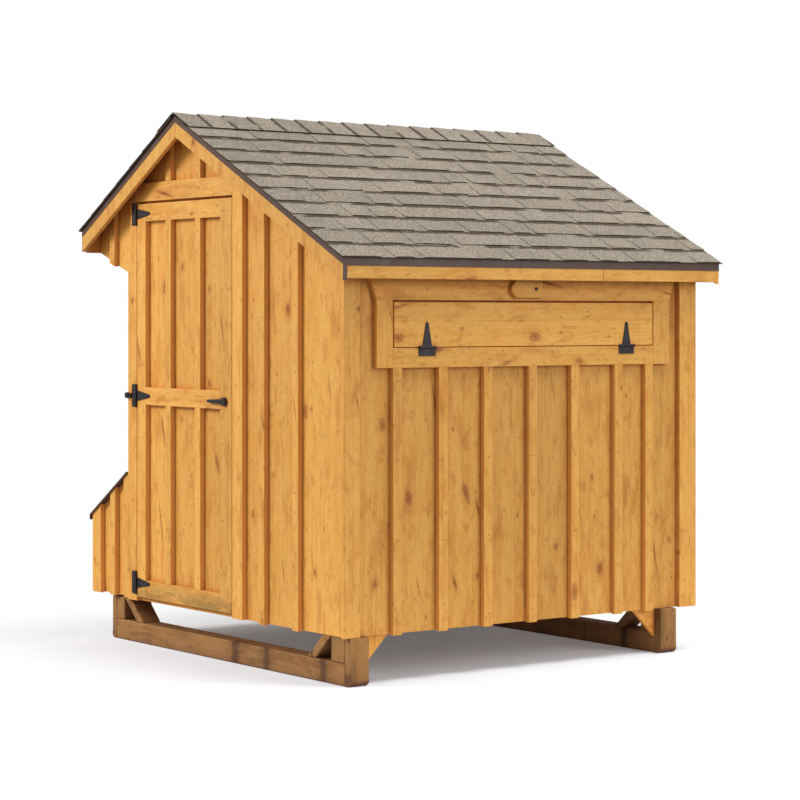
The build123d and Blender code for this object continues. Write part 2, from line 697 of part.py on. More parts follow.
def under_lid(w0, w1, z0, depth=LID_UNDER):
    """Profile of an upright piece whose top is cut just under the lid."""
    return [(w0, z0), (w1, z0), (w1, lid_z(w1) - depth), (w0, lid_z(w0) - depth)]


def nest_box():
    """The box outside the wall. Its end battens run up beside the lid board, to the metal cover."""
    ends, battens = [], []
    seam = 1780
    corner = 73
    for face_l, board_l in ((0, (FACE, INNER)), (HOUSE_L - TRIM_T, (HOUSE_L - INNER, HOUSE_L - FACE))):
        edges = [HOUSE_W, seam, NEST_BOARD_W0]
        ends += boards(edges, lambda a, b: section(under_lid(a, b, NEST_Z0), *board_l))
        spans = (batten_span(seam), (NEST_W - corner, NEST_W), (HOUSE_W, HOUSE_W + 40))
        for a, b in spans:
            battens.append(section(under_lid(a, b, NEST_Z0 - 3, COVER_UNDER), face_l, face_l + TRIM_T))
    save("nest_box_ends", ends)

    top = lid_z(NEST_BOARD_W1) - LID_UNDER
    seams = [FACE + i * (HOUSE_L - 2 * FACE) / 8 for i in range(9)]
    outer = boards(seams, lambda a, b: block(NEST_BOARD_W0, NEST_BOARD_W1, a, b, NEST_Z0, top))
    save("nest_box_outer_boards", outer)
    trim_top = lid_z(NEST_W) - LID_UNDER
    trim = 60
    spans = [batten_span(s) for s in seams[1:-1]] + [(FACE, trim), (HOUSE_L - trim, HOUSE_L - FACE)]
    for a, b in spans:
        battens.append(block(NEST_BOARD_W1, NEST_W, a, b, NEST_Z0 - 3, trim_top))
    save("nest_box_battens", battens)

    save("nest_box_floor", block(HOUSE_W, NEST_BOARD_W0, INNER, HOUSE_L - INNER, NEST_Z0, NEST_Z0 + BOARD_T))
    dividers = []
    for s in NEST_STUDS[1:-1]:
        mid = s + STUD_T / 2
        points = under_lid(HOUSE_W, NEST_BOARD_W0, NEST_Z0 + BOARD_T)
        dividers.append(section(points, mid - BOARD_T / 2, mid + BOARD_T / 2))
    save("nest_box_dividers", dividers)


LID_W0 = HOUSE_W + 3
LID_W1 = NEST_W + LID_OVERHANG
LID_L0 = -8
LID_L1 = HOUSE_L + 8


def lid_band(w0, w1, t0, t1):
    """Profile of a layer of the lid, t0 to t1 below its top face."""
    d0, d1 = t0 / cos(LID_SLOPE), t1 / cos(LID_SLOPE)
    return [(w0, lid_z(w0) - d0), (w1, lid_z(w1) - d0), (w1, lid_z(w1) - d1), (w0, lid_z(w0) - d1)]


def nest_lid():
    """A board between the end battens, and a metal cover folded down over its outer edge and both ends."""
    inside = LID_W1 - LID_COVER_T
    board_profile = lid_band(LID_W0, inside, LID_COVER_T, LID_T + LID_COVER_T)
    board = section(board_profile, FACE + GAP, HOUSE_L - FACE - GAP)
    cover = section(lid_band(LID_W0, LID_W1, 0, LID_COVER_T), LID_L0, LID_L1)
    cover = cover + section(lid_band(inside, LID_W1, 0, LID_T + LID_COVER_T), LID_L0, LID_L1)
    for l0 in (LID_L0, LID_L1 - LID_COVER_T):
        cover = cover + section(lid_band(LID_W0, LID_W1, 0, LID_LIP), l0, l0 + LID_COVER_T)
    save("nest_lid_board", board)
    save("nest_lid_cover", cover)


# ---- T-hinges -----------------------------------------------------------------------------------
# In the hinge's own frame the pin runs along Z through the origin, and the wood face is the plane
# y = PIN_OFFSET. The strap runs towards +X.
def slab(x0, x1, z0, z1):
    box = Box(x1 - x0, LEAF_T, z1 - z0, align=(Align.MIN, Align.MAX, Align.MIN))
    return Pos(x0, PIN_OFFSET, z0) * box


def barrel(z0, z1, radius):
    return Pos(0, 0, z0) * Cylinder(radius, z1 - z0, align=(Align.CENTER, Align.CENTER, Align.MIN))


def strap_screws(length):
    return (20, 12), (20, -12), (0.52 * length, 5), (0.82 * length, 0)


def screw_hole(x, z):
    hole = Cylinder(SCREW_R + 0.1, 4 * LEAF_T)
    return Pos(x, PIN_OFFSET, z) * Rot(90, 0, 0) * hole


def plate_screws(size):
    width, height = size
    inner, outer = -0.4 * width, -0.65 * width
    near, far = height / 2 - 23, height / 2 - 11
    return (inner, far), (outer, near), (inner, -far), (outer, -near)


def hinge_plate(size):
    """The upright leaf with a knuckle at each end."""
    width, height = size
    half, knuckle = height / 2, STRAP_KNUCKLE_H / 2 + 0.5
    clear = -KNUCKLE_R - 0.6
    plate = slab(-width, clear, -half, half)
    for z0, z1 in ((-half, -knuckle), (knuckle, half)):
        plate = plate + slab(clear, 0, z0, z1) + barrel(z0, z1, KNUCKLE_R)
    plate = plate - barrel(-half - 1, half + 1, PLATE_BORE_R)
    for x, z in plate_screws(size):
        plate = plate - screw_hole(x, z)
    return plate


def hinge_strap(length):
    """The tapered leaf with one knuckle between the plate's two."""
    half, tip, neck = STRAP_BASE_H / 2, STRAP_TIP_H / 2, STRAP_KNUCKLE_H / 2
    start, end = KNUCKLE_R + 0.8, length - STRAP_TIP_H / 2
    corners = [(start, -half), (end, -tip), (end, tip), (start, half)]
    outline = Polyline(*[Vector(x, PIN_OFFSET, z) for x, z in corners], close=True)
    leaf = extrude(make_face(outline), amount=LEAF_T, dir=(0, -1, 0))
    nose = Pos(end, PIN_OFFSET - LEAF_T / 2, 0) * Rot(90, 0, 0) * Cylinder(tip, LEAF_T)
    strap = leaf + nose + slab(0, start, -neck, neck) + barrel(-neck, neck, KNUCKLE_R)
    strap = strap - barrel(-half - 1, half + 1, STRAP_BORE_R)
    for x, z in strap_screws(length):
        strap = strap - screw_hole(x, z)
    return strap


def hinge_pin(size):
    half = size[1] / 2
    heads = barrel(half, half + 2, PIN_R + 1.2) + barrel(-half - 2, -half, PIN_R + 1.2)
    return barrel(-half, half, PIN_R) + heads


def screws(places):
    made = []
    for x, z in places:
        outer = PIN_OFFSET - LEAF_T
        head = Pos(x, outer - SCREW_HEAD_T / 2, z) * Rot(90, 0, 0) * Cylinder(SCREW_HEAD_R, SCREW_HEAD_T)
        shank_l = LEAF_T + SCREW_GRIP
        shank = Pos(x, outer + shank_l / 2, z) * Rot(90, 0, 0) * Cylinder(SCREW_R, shank_l)
        made.append(head + shank)
    return made


def frame_at(w, l, z, strap_dir, pin_dir):
    return Plane(origin=(CORNER_X - w, CORNER_Y + l, z), x_dir=strap_dir, z_dir=pin_dir).location


DOOR_PIN_W = DOOR_W1 + DOOR_GAP / 2
DOOR_HINGE_ZS = (266, 1076, 1862)
FLAP_PIN_Z = FLAP_Z0 - 1.5
FLAP_HINGE_LS = (396, 1434)
LID_PIN_W = HOUSE_W + PIN_OFFSET
LID_PIN_Z = lid_z(LID_PIN_W) + PIN_OFFSET / cos(LID_SLOPE)
LID_HINGE_LS = (260, HOUSE_L / 2, HOUSE_L - 260)


def hinges():
    door = [frame_at(DOOR_PIN_W, -PIN_OFFSET, z, (1, 0, 0), (0, 0, 1)) for z in DOOR_HINGE_ZS]
    flap = [frame_at(-PIN_OFFSET, l, FLAP_PIN_Z, (0, 0, 1), (0, -1, 0)) for l in FLAP_HINGE_LS]
    down = (-cos(LID_SLOPE), 0, -sin(LID_SLOPE))
    lid_straps = [frame_at(LID_PIN_W, l, LID_PIN_Z, down, (0, -1, 0)) for l in LID_HINGE_LS]
    lid_plates = [frame_at(LID_PIN_W, l, LID_PIN_Z, (0, 0, -1), (0, -1, 0)) for l in LID_HINGE_LS]
    fixed = [(f, DOOR_PLATE) for f in door] + [(f, SMALL_PLATE) for f in flap + lid_plates]
    save("hinge_plates", [f * hinge_plate(size) for f, size in fixed])
    save("hinge_pins", [f * hinge_pin(size) for f, size in fixed])
    save("hinge_plate_screws", [f * s for f, size in fixed for s in screws(plate_screws(size))])
    for name, frames, length in (
        ("door", door, DOOR_STRAP_L), ("flap", flap, SMALL_STRAP_L), ("lid", lid_straps, SMALL_STRAP_L),
    ):
        save(f"{name}_hinge_straps", [f * hinge_strap(length) for f in frames])
        save(f"{name}_strap_screws", [f * s for f in frames for s in screws(strap_screws(length))])


# ---- door ---------------------------------------------------------------------------------------
def across(w, l, z):
    """Locates a cylinder so that its axis runs along Y from l inwards."""
    return Pos(CORNER_X - w, CORNER_Y + l, z) * Rot(-90, 0, 0)


def rod(radius, length):
    return Cylinder(radius, length, align=(Align.CENTER, Align.CENTER, Align.MIN))


def door():
    spindle_bore = across(HANDLE_W, -5, HANDLE_Z) * rod(SPINDLE_BORE_R, INNER + 10)
    edges = [DOOR_W0 - BOARD_GAP / 2, *DOOR_BATTENS, DOOR_W1 + BOARD_GAP / 2]
    panel = boards(edges, lambda a, b: block(a, b, FACE, INNER, DOOR_Z0, DOOR_Z1))
    save("door_boards", [board - spindle_bore for board in panel])

    latch_in = DOOR_W0 + LATCH_STILE_W
    hinge_in = DOOR_W1 - HINGE_STILE_W
    rails = (DOOR_Z0, MID_RAIL_Z, DOOR_Z1 - RAIL_H)
    frame = [
        block(DOOR_W0, latch_in, 0, TRIM_T, DOOR_Z0, DOOR_Z1) - spindle_bore,
        block(hinge_in, DOOR_W1, 0, TRIM_T, DOOR_Z0, DOOR_Z1),
    ]
    frame += [block(latch_in, hinge_in, 0, TRIM_T, z, z + RAIL_H) for z in rails]
    save("door_frame", frame)

    battens = []
    for centre in DOOR_BATTENS:
        a, b = batten_span(centre)
        for low, high in zip(rails, rails[1:]):
            battens.append(block(a, b, 0, TRIM_T, low + RAIL_H, high))
    save("door_battens", battens)


def handle_and_latch():
    """An L-handle on a spindle through the stile, and a cam bar inside behind the wall boards."""
    hub_r, hub_t, stand_off = 17.5, 13, 2
    hub_l = -stand_off - hub_t
    hub = across(HANDLE_W, hub_l, HANDLE_Z) * rod(hub_r, hub_t)
    hub = fillet(hub.edges().filter_by(GeomType.CIRCLE).sort_by(Axis.Y)[0], 4)
    arm_points = [(0, 10), (HANDLE_L - 8, 6), (HANDLE_L - 8, -6), (0, -10)]
    arm = section([(HANDLE_W + a, HANDLE_Z + b) for a, b in arm_points], hub_l + 1, hub_l + 9)
    tip = across(HANDLE_W + HANDLE_L - 8, hub_l + 1, HANDLE_Z) * rod(6, 8)
    bore = across(HANDLE_W, hub_l + 5, HANDLE_Z) * rod(SPINDLE_R, hub_t)
    save("door_handle", hub + arm + tip - bore)

    cam_gap, cam_t, cam_w, cam_l = 4, 6, 22, 74
    cam_l0 = INNER + cam_gap
    spindle_end = cam_l0 + cam_t + 6
    save("latch_spindle", across(HANDLE_W, hub_l + 5, HANDLE_Z) * rod(SPINDLE_R, spindle_end - hub_l - 5))
    bar = block(
        HANDLE_W - cam_w / 2, HANDLE_W + cam_w / 2, cam_l0, cam_l0 + cam_t,
        HANDLE_Z - cam_w / 2, HANDLE_Z + cam_l,
    )
    save("latch_cam", bar - across(HANDLE_W, INNER, HANDLE_Z) * rod(SPINDLE_R, 30))


def holdback_knob():
    """A short black bar with a round end beside the middle hinge, which holds the door back when open."""
    z = DOOR_HINGE_ZS[1]
    plate_edge = DOOR_PIN_W + DOOR_PLATE[0] + GAP
    depth, half_height, knob_r, knob_w = 9, 9, 13, HOUSE_W - 5
    bar = block(plate_edge, knob_w, -depth, 0, z - half_height, z + half_height)
    knob = across(knob_w, -depth - 4, z) * rod(knob_r, depth + 4)
    save("door_holdback_knob", bar + knob)


# ---- vent flap ----------------------------------------------------------------------------------
BUTTON_L = (FLAP_L0 + FLAP_L1) / 2 + 22
BUTTON_Z = 1530
BUTTON_W = 70
BUTTON_UP, BUTTON_DOWN = 34, 124
BUTTON_T = 20


def vent_flap():
    save("vent_flap", block(0, FLAP_T, FLAP_L0, FLAP_L1, FLAP_Z0, FLAP_Z1))


def turn_button():
    """A wooden turn button on one screw. It is drawn turned level, clear of the flap."""
    half = BUTTON_W / 2
    nose = 22
    straight = BUTTON_DOWN - nose
    l, z = BUTTON_L, BUTTON_Z
    body = block(-GAP - BUTTON_T, -GAP, l - straight, l + BUTTON_UP, z - half, z + half)
    tip = side_section([(l - straight, z + half), (l - BUTTON_DOWN, z + 9), (l - BUTTON_DOWN, z - 9),
                        (l - straight, z - half)], -GAP - BUTTON_T, -GAP)
    shank_r, head_r, head_t = 3, 7, 3
    x = CORNER_X + GAP + BUTTON_T

    def along_x(x0, radius, length):
        return Pos(x0, CORNER_Y + l, z) * Rot(0, 90, 0) * rod(radius, length)

    bore = along_x(CORNER_X, shank_r + 0.08, BUTTON_T + 5)
    save("turn_button", body + tip - bore)
    washer_gap = 0.5
    grip = 30
    head_x = x + washer_gap
    shank = along_x(CORNER_X - grip, shank_r, head_x - CORNER_X + grip)
    save("turn_button_screw", along_x(head_x, head_r, head_t) + shank)


os.makedirs("parts", exist_ok=True)
skids()
floor()
front_frame()
rear_frame()
hatch_frame()
nest_frame()
roof_frame()
front_siding()
rear_siding()
hatch_siding()
vent_surround()
vent_screen()
corner_trims()
nest_siding()
corbel_soffit()
roof_deck()
barge_and_fascia()
drip_edges()
shingles()
ridge_caps()
nest_box()
nest_lid()
hinges()
door()
handle_and_latch()
holdback_knob()
vent_flap()
turn_button()
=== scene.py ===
import json
import math
import random

import bmesh
import bpy
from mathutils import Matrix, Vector


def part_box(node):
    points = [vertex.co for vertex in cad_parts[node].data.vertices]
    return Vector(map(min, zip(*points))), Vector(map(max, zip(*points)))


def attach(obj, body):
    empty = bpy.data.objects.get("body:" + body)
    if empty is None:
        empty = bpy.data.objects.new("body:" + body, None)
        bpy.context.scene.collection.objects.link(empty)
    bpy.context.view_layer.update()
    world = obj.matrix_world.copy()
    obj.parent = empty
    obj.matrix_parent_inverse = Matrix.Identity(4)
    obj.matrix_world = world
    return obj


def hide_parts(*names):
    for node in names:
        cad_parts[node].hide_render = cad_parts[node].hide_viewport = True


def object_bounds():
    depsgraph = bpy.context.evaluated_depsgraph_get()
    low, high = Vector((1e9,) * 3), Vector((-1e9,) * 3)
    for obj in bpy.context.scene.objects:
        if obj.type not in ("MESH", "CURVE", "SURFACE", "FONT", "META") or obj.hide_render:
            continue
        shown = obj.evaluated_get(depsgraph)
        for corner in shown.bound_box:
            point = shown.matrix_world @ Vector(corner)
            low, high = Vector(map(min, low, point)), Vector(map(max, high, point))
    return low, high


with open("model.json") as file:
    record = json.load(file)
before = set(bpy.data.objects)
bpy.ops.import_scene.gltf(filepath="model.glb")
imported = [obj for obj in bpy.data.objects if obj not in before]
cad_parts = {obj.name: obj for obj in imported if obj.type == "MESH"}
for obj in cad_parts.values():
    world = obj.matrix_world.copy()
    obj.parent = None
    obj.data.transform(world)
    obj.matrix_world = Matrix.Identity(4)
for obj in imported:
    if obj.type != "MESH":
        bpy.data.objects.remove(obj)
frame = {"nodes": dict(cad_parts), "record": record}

# The looks of a small board-and-batten animal house on skids, built on its CAD frame. Metres, +Z up.
# The door gable faces -Y and the vent flap side faces +X.

cad_low, cad_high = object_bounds()
RECORD = frame["record"]
SLOT_OF = {part["node"]: part["material_slot"] for part in RECORD["subparts"]}
BODY_OF = {node: body for body, nodes in RECORD["behaviour"]["bodies"].items() for node in nodes}
UP = Vector((0, 0, 1))

# How far sharp edges are eased.
BOARD_EASE = 0.0016
TREATED_EASE = 0.005
METAL_EASE = 0.0004

# Picks the set of random grain offsets and tones that the boards get.
GRAIN_SET = "0"

# Roofing: the felt on the deck, the full sheet, the tabs on it, and how much of a course shows.
FELT = 0.001
SHEET_T = 0.0042
TAB_T = 0.0040
SHINGLE_EXPOSURE = 0.128
SHEET_LENGTH = 1.0
SHEET_JOINT = 0.0006
TAB_WIDTHS = (0.09, 0.13, 0.18, 0.24, 0.31)
TAB_GAPS = (0.03, 0.05, 0.07, 0.10)
CAP_T = 0.0042
CAP_FRONT_T = 0.010

NAIL_R = 0.0033
NAIL_T = 0.0008
NAIL_SIDES = 8

FLOOR_Z = -0.0005
FLOOR_REACH = 40.0
FLOOR_GLOW = 0.35
SKY_GLOW = 0.55

# The camera stands level, out from the corner between the door gable and the vent side.
CAMERA_OFFSET = (7.581, -5.304)
CAMERA_HEIGHT = 1.421
CAMERA_TURN = math.radians(53.7)
CAMERA_LENS = 109.1
CAMERA_SHIFT = -0.105


# ---- reading the CAD frame ----------------------------------------------------------------------
def solids(node):
    """The closed solids of a CAD node, each as (points, faces). A solid ends where no edge is left open."""
    mesh = frame["nodes"][node].data
    found, points, index, faces, open_edges = [], [], {}, [], set()
    for polygon in mesh.polygons:
        corners = []
        for v in polygon.vertices:
            co = mesh.vertices[v].co
            key = tuple(round(c * 1e5) for c in co)
            if key not in index:
                index[key] = len(points)
                points.append(co.copy())
            corners.append(index[key])
        if len(set(corners)) < 3:
            continue
        faces.append(corners)
        for a, b in zip(corners, corners[1:] + corners[:1]):
            if (b, a) in open_edges:
                open_edges.remove((b, a))
            else:
                open_edges.add((a, b))
        if not open_edges:
            found.append((points, faces))
            points, index, faces = [], {}, []
    return found


def span(points):
    """Lowest and highest corner of a list of points."""
    low = Vector(min(p[i] for p in points) for i in range(3))
    high = Vector(max(p[i] for p in points) for i in range(3))
    return low, high


def solid_boxes(node):
    """The bounding box of each solid of a CAD node."""
    return [span(points) for points, _ in solids(node)]


# ---- meshes -------------------------------------------------------------------------------------
class Shape:
    """Collects faces with their attributes, and becomes one piece."""

    def __init__(self):
        self.points, self.faces = [], []
        self.grain, self.tone, self.edge = [], [], []

    def add(self, points, faces, grain=None, tone=0.0, edge=0.0):
        """Adds a mesh. tone and edge are one value for all of it or a list, per point and per face."""
        start = len(self.points)
        self.points += [Vector(p) for p in points]
        self.grain += grain if grain else [Vector(p) for p in points]
        self.tone += tone if isinstance(tone, list) else [tone] * len(points)
        self.faces += [[start + i for i in face] for face in faces]
        self.edge += edge if isinstance(edge, list) else [edge] * len(faces)

    def piece(self, name, body, material, slot, stands_for=(), smooth=None):
        """Makes the object, riding on a body and standing in for the CAD nodes named."""
        mesh = bpy.data.meshes.new(name)
        mesh.from_pydata(self.points, [], self.faces)
        mesh.attributes.new("grain", "FLOAT_VECTOR", "POINT")
        mesh.attributes["grain"].data.foreach_set("vector", [c for g in self.grain for c in g])
        mesh.attributes.new("tone", "FLOAT", "POINT")
        mesh.attributes["tone"].data.foreach_set("value", self.tone)
        mesh.attributes.new("edge", "FLOAT", "FACE")
        mesh.attributes["edge"].data.foreach_set("value", self.edge)
        if smooth is not None:
            mesh.shade_smooth()
            mesh.set_sharp_from_angle(angle=math.radians(smooth))
        obj = bpy.data.objects.new(name, mesh)
        bpy.context.scene.collection.objects.link(obj)
        if smooth is not None:
            weighted = obj.modifiers.new("weighted_normals", "WEIGHTED_NORMAL")
            weighted.keep_sharp = True
        mesh.materials.append(material)
        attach(obj, body)
        if stands_for:
            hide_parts(*stands_for)
        return obj


def eased(points, faces, radius, min_angle=25.0, segments=2):
    """A bmesh of one solid, with its flat faces merged and its sharp edges eased by a small radius."""
    bm = bmesh.new()
    verts = [bm.verts.new(p) for p in points]
    for face in faces:
        try:
            bm.faces.new([verts[i] for i in face])
        except ValueError:
            pass
    bmesh.ops.dissolve_limit(bm, angle_limit=math.radians(1), verts=bm.verts[:], edges=bm.edges[:])
    bm.normal_update()
    if radius:
        sharp = [
            e for e in bm.edges
            if len(e.link_faces) == 2 and e.calc_length() > 3 * radius
            and e.calc_face_angle(0) > math.radians(min_angle)
        ]
        bmesh.ops.bevel(
            bm, geom=sharp, offset=radius, segments=segments, profile=0.5,
            affect="EDGES", clamp_overlap=True,
        )
        bm.normal_update()
    return bm


def bmesh_lists(bm):
    """The points and the faces of a bmesh, as Shape.add takes them."""
    bm.verts.index_update()
    return [v.co.copy() for v in bm.verts], [[v.index for v in f.verts] for f in bm.faces]


def board_axes(points, faces, upright):
    """The grain direction, the width direction and the thickness direction of one board."""
    if upright:
        along = UP.copy()
    else:
        edges = [(points[b] - points[a]) for f in faces for a, b in zip(f, f[1:] + f[:1])]
        straight = [e for e in edges if sum(abs(c) > 1e-5 for c in e) == 1]
        flat = [e for e in edges if abs(e.y) < 1e-5] if not straight else straight
        along = max(flat or edges, key=lambda e: e.length).normalized()
        longest = max(edges, key=lambda e: e.length)
        straight_reach = max(e.length for e in straight or edges)
        # a sloping board, such as a rafter, runs along its longest edge
        if abs(longest.normalized().y) < 1e-5 and longest.length > 1.3 * straight_reach:
            along = longest.normalized()
    world_axes = (Vector((1, 0, 0)), Vector((0, 1, 0)), UP.copy())
    sides = [axis for axis in world_axes if abs(axis.dot(along)) < 0.3]
    if len(sides) < 2:
        level = Vector((0, 1, 0))
        sides = [level, along.cross(level).normalized()]
    extents = []
    for axis in sides:
        reach = [p.dot(axis) for p in points]
        extents.append((max(reach) - min(reach), axis))
    extents.sort(key=lambda pair: -pair[0])
    return along, extents[0][1], extents[1][1]


def timber_piece(node, material, radius, side_tint, upright, shade_and_tone_shift):
    """Builds the boards of a CAD node again with eased edges, each with a grain and a tone of its own."""
    rng = random.Random(node + GRAIN_SET)
    shape = Shape()
    for points, faces in solids(node):
        low, high = span(points)
        tall = upright and high.z - low.z > 0.12
        along, across, through = board_axes(points, faces, tall)
        bm = eased(points, faces, radius)
        centre = (low + high) / 2
        # where in its log the board was sawn: along it, across it, and how far from the pith
        offset = Vector((
            rng.uniform(0, 40), rng.uniform(-0.05, 0.05), rng.choice((-1, 1)) * rng.uniform(0.03, 0.09),
        ))
        made, made_faces = bmesh_lists(bm)
        grain = []
        for p in made:
            d = p - centre
            grain.append(Vector((d.dot(along), d.dot(across), d.dot(through))) + offset)
        edge = [side_tint * (1 - abs(f.normal.dot(through)) ** 2) for f in bm.faces]
        # the board's random tone, shifted darker for the pieces that are given painted shade
        shape.add(made, made_faces, grain, shade_and_tone_shift + rng.uniform(-1, 1), edge)
        bm.free()
    return shape.piece(f"{node}_made", BODY_OF[node], material, SLOT_OF[node], [node])


def metal_piece(node, material, radius, smooth=38):
    """Builds the metal parts of a CAD node again with eased edges and smooth round faces."""
    rng = random.Random(node)
    shape = Shape()
    for points, faces in solids(node):
        bm = eased(points, faces, radius, min_angle=38.0)
        shape.add(*bmesh_lists(bm), tone=rng.uniform(-1, 1))
        bm.free()
    return shape.piece(f"{node}_made", BODY_OF[node], material, SLOT_OF[node], [node], smooth=smooth)


# ---- materials ----------------------------------------------------------------------------------
class Paint:
    """Builds one node material. Every method returns an output socket."""

    def __init__(self, name):
        self.material = bpy.data.materials.new(name)
        self.material.use_nodes = True
        self.tree = self.material.node_tree
        self.tree.nodes.clear()

    def node(self, kind, inputs, **settings):
        """Adds a shader node. An input is a value or the output socket that feeds it."""
        made = self.tree.nodes.new("ShaderNode" + kind)
        for key, value in settings.items():
            setattr(made, key, value)
        for key, value in inputs.items():
            if isinstance(value, bpy.types.NodeSocket):
                self.tree.links.new(value, made.inputs[key])
            else:
                made.inputs[key].default_value = value
        return made

    def attribute(self, name, output="Fac"):
        return self.node("Attribute", {}, attribute_name=name).outputs[output]

    def math(self, operation, a, b=0.0, c=0.0):
        return self.node("Math", {0: a, 1: b, 2: c}, operation=operation).outputs[0]

    def scaled(self, vector, factors):
        return self.node("VectorMath", {0: vector, 1: factors}, operation="MULTIPLY").outputs[0]

    def noise(self, vector, scale, detail=2.0, roughness=0.5, distortion=0.0):
        inputs = {"Vector": vector, "Scale": scale, "Detail": detail, "Roughness": roughness}
        inputs["Distortion"] = distortion
        return self.node("TexNoise", inputs).outputs[0]

    def ramp(self, value, start, end, low=0.0, high=1.0):
        """value from start..end to low..high, with a smooth step."""
        inputs = {0: value, 1: start, 2: end, 3: low, 4: high}
        return self.node("MapRange", inputs, interpolation_type="SMOOTHSTEP").outputs[0]

    def mix(self, factor, a, b, blend="MIX"):
        inputs = {0: factor, 6: a, 7: b}
        return self.node("Mix", inputs, data_type="RGBA", blend_type=blend).outputs[2]

    def toned(self, color, tone, reach, saturation=1.0):
        """The colour made lighter or darker by the tone of its board or tab."""
        value = self.math("ADD", 1.0, self.math("MULTIPLY", tone, reach))
        inputs = {"Hue": 0.5, "Saturation": saturation, "Value": value, "Fac": 1.0, "Color": color}
        return self.node("HueSaturation", inputs).outputs[0]

    def finish(self, color, roughness, height, depth, metallic=0.0, specular=0.5, strength=1.0):
        """Ends the material in one shader, with a bump of the given depth in metres."""
        inputs = {"Base Color": color, "Roughness": roughness, "Metallic": metallic}
        inputs["Specular IOR Level"] = specular
        bump = self.node("Bump", {"Strength": strength, "Distance": depth, "Height": height})
        inputs["Normal"] = bump.outputs[0]
        shader = self.node("BsdfPrincipled", inputs)
        self.node("OutputMaterial", {"Surface": shader.outputs[0]})
        return self.material


def rgb(r, g, b):
    """Linear colour from a display colour, 0 to 255."""
    return tuple((c / 255) ** 2.2 for c in (r, g, b)) + (1.0,)


def knot_layer(p, grain, wobble, cell, keep, small, large):
    """Knots of one size class: at most one in each cell of a stretched cell pattern.

    Gives the distance from the knot's centre over its radius, the radius, a random value for the
    knot, and how far the knot shows at all.
    """
    cell_u, cell_v = cell
    cells = p.scaled(grain, (1 / cell_u, 1 / cell_v, 0.0))
    inputs = {"Vector": cells, "Scale": 1.0, "Randomness": 0.9}
    found = p.node("TexVoronoi", inputs, voronoi_dimensions="2D")
    chance = p.node("SeparateColor", {0: found.outputs["Color"]})
    away = p.node("VectorMath", {0: cells, 1: found.outputs["Position"]}, operation="SUBTRACT").outputs[0]
    # most are nearly round, some lie slanted across the board and look like spikes
    slant = p.math("MULTIPLY", p.ramp(chance.outputs[2], 0.45, 1.0, 0.0, 1.0), 1.6)
    slanted = p.node("CombineXYZ", {0: slant}).outputs[0]
    across = p.node("SeparateXYZ", {0: away}).outputs[1]
    shear = p.node("VectorMath", {0: slanted, 1: across}, operation="MULTIPLY")
    away = p.node("VectorMath", {0: away, 1: shear.outputs[0]}, operation="ADD").outputs[0]
    near = p.scaled(away, (cell_u * 0.62, cell_v, 0.0))
    distance = p.node("VectorMath", {0: near}, operation="LENGTH").outputs["Value"]
    distance = p.math("ADD", distance, p.math("MULTIPLY", p.math("SUBTRACT", wobble, 0.5), large * 0.9))
    kept = p.ramp(chance.outputs[0], 1.0 - keep, 1.03 - keep)
    size = p.math("MULTIPLY", p.ramp(chance.outputs[1], 0.0, 1.0, small, large), kept)
    radius = p.math("ADD", size, 0.0002)
    return p.math("DIVIDE", distance, radius), radius, chance.outputs[2], kept


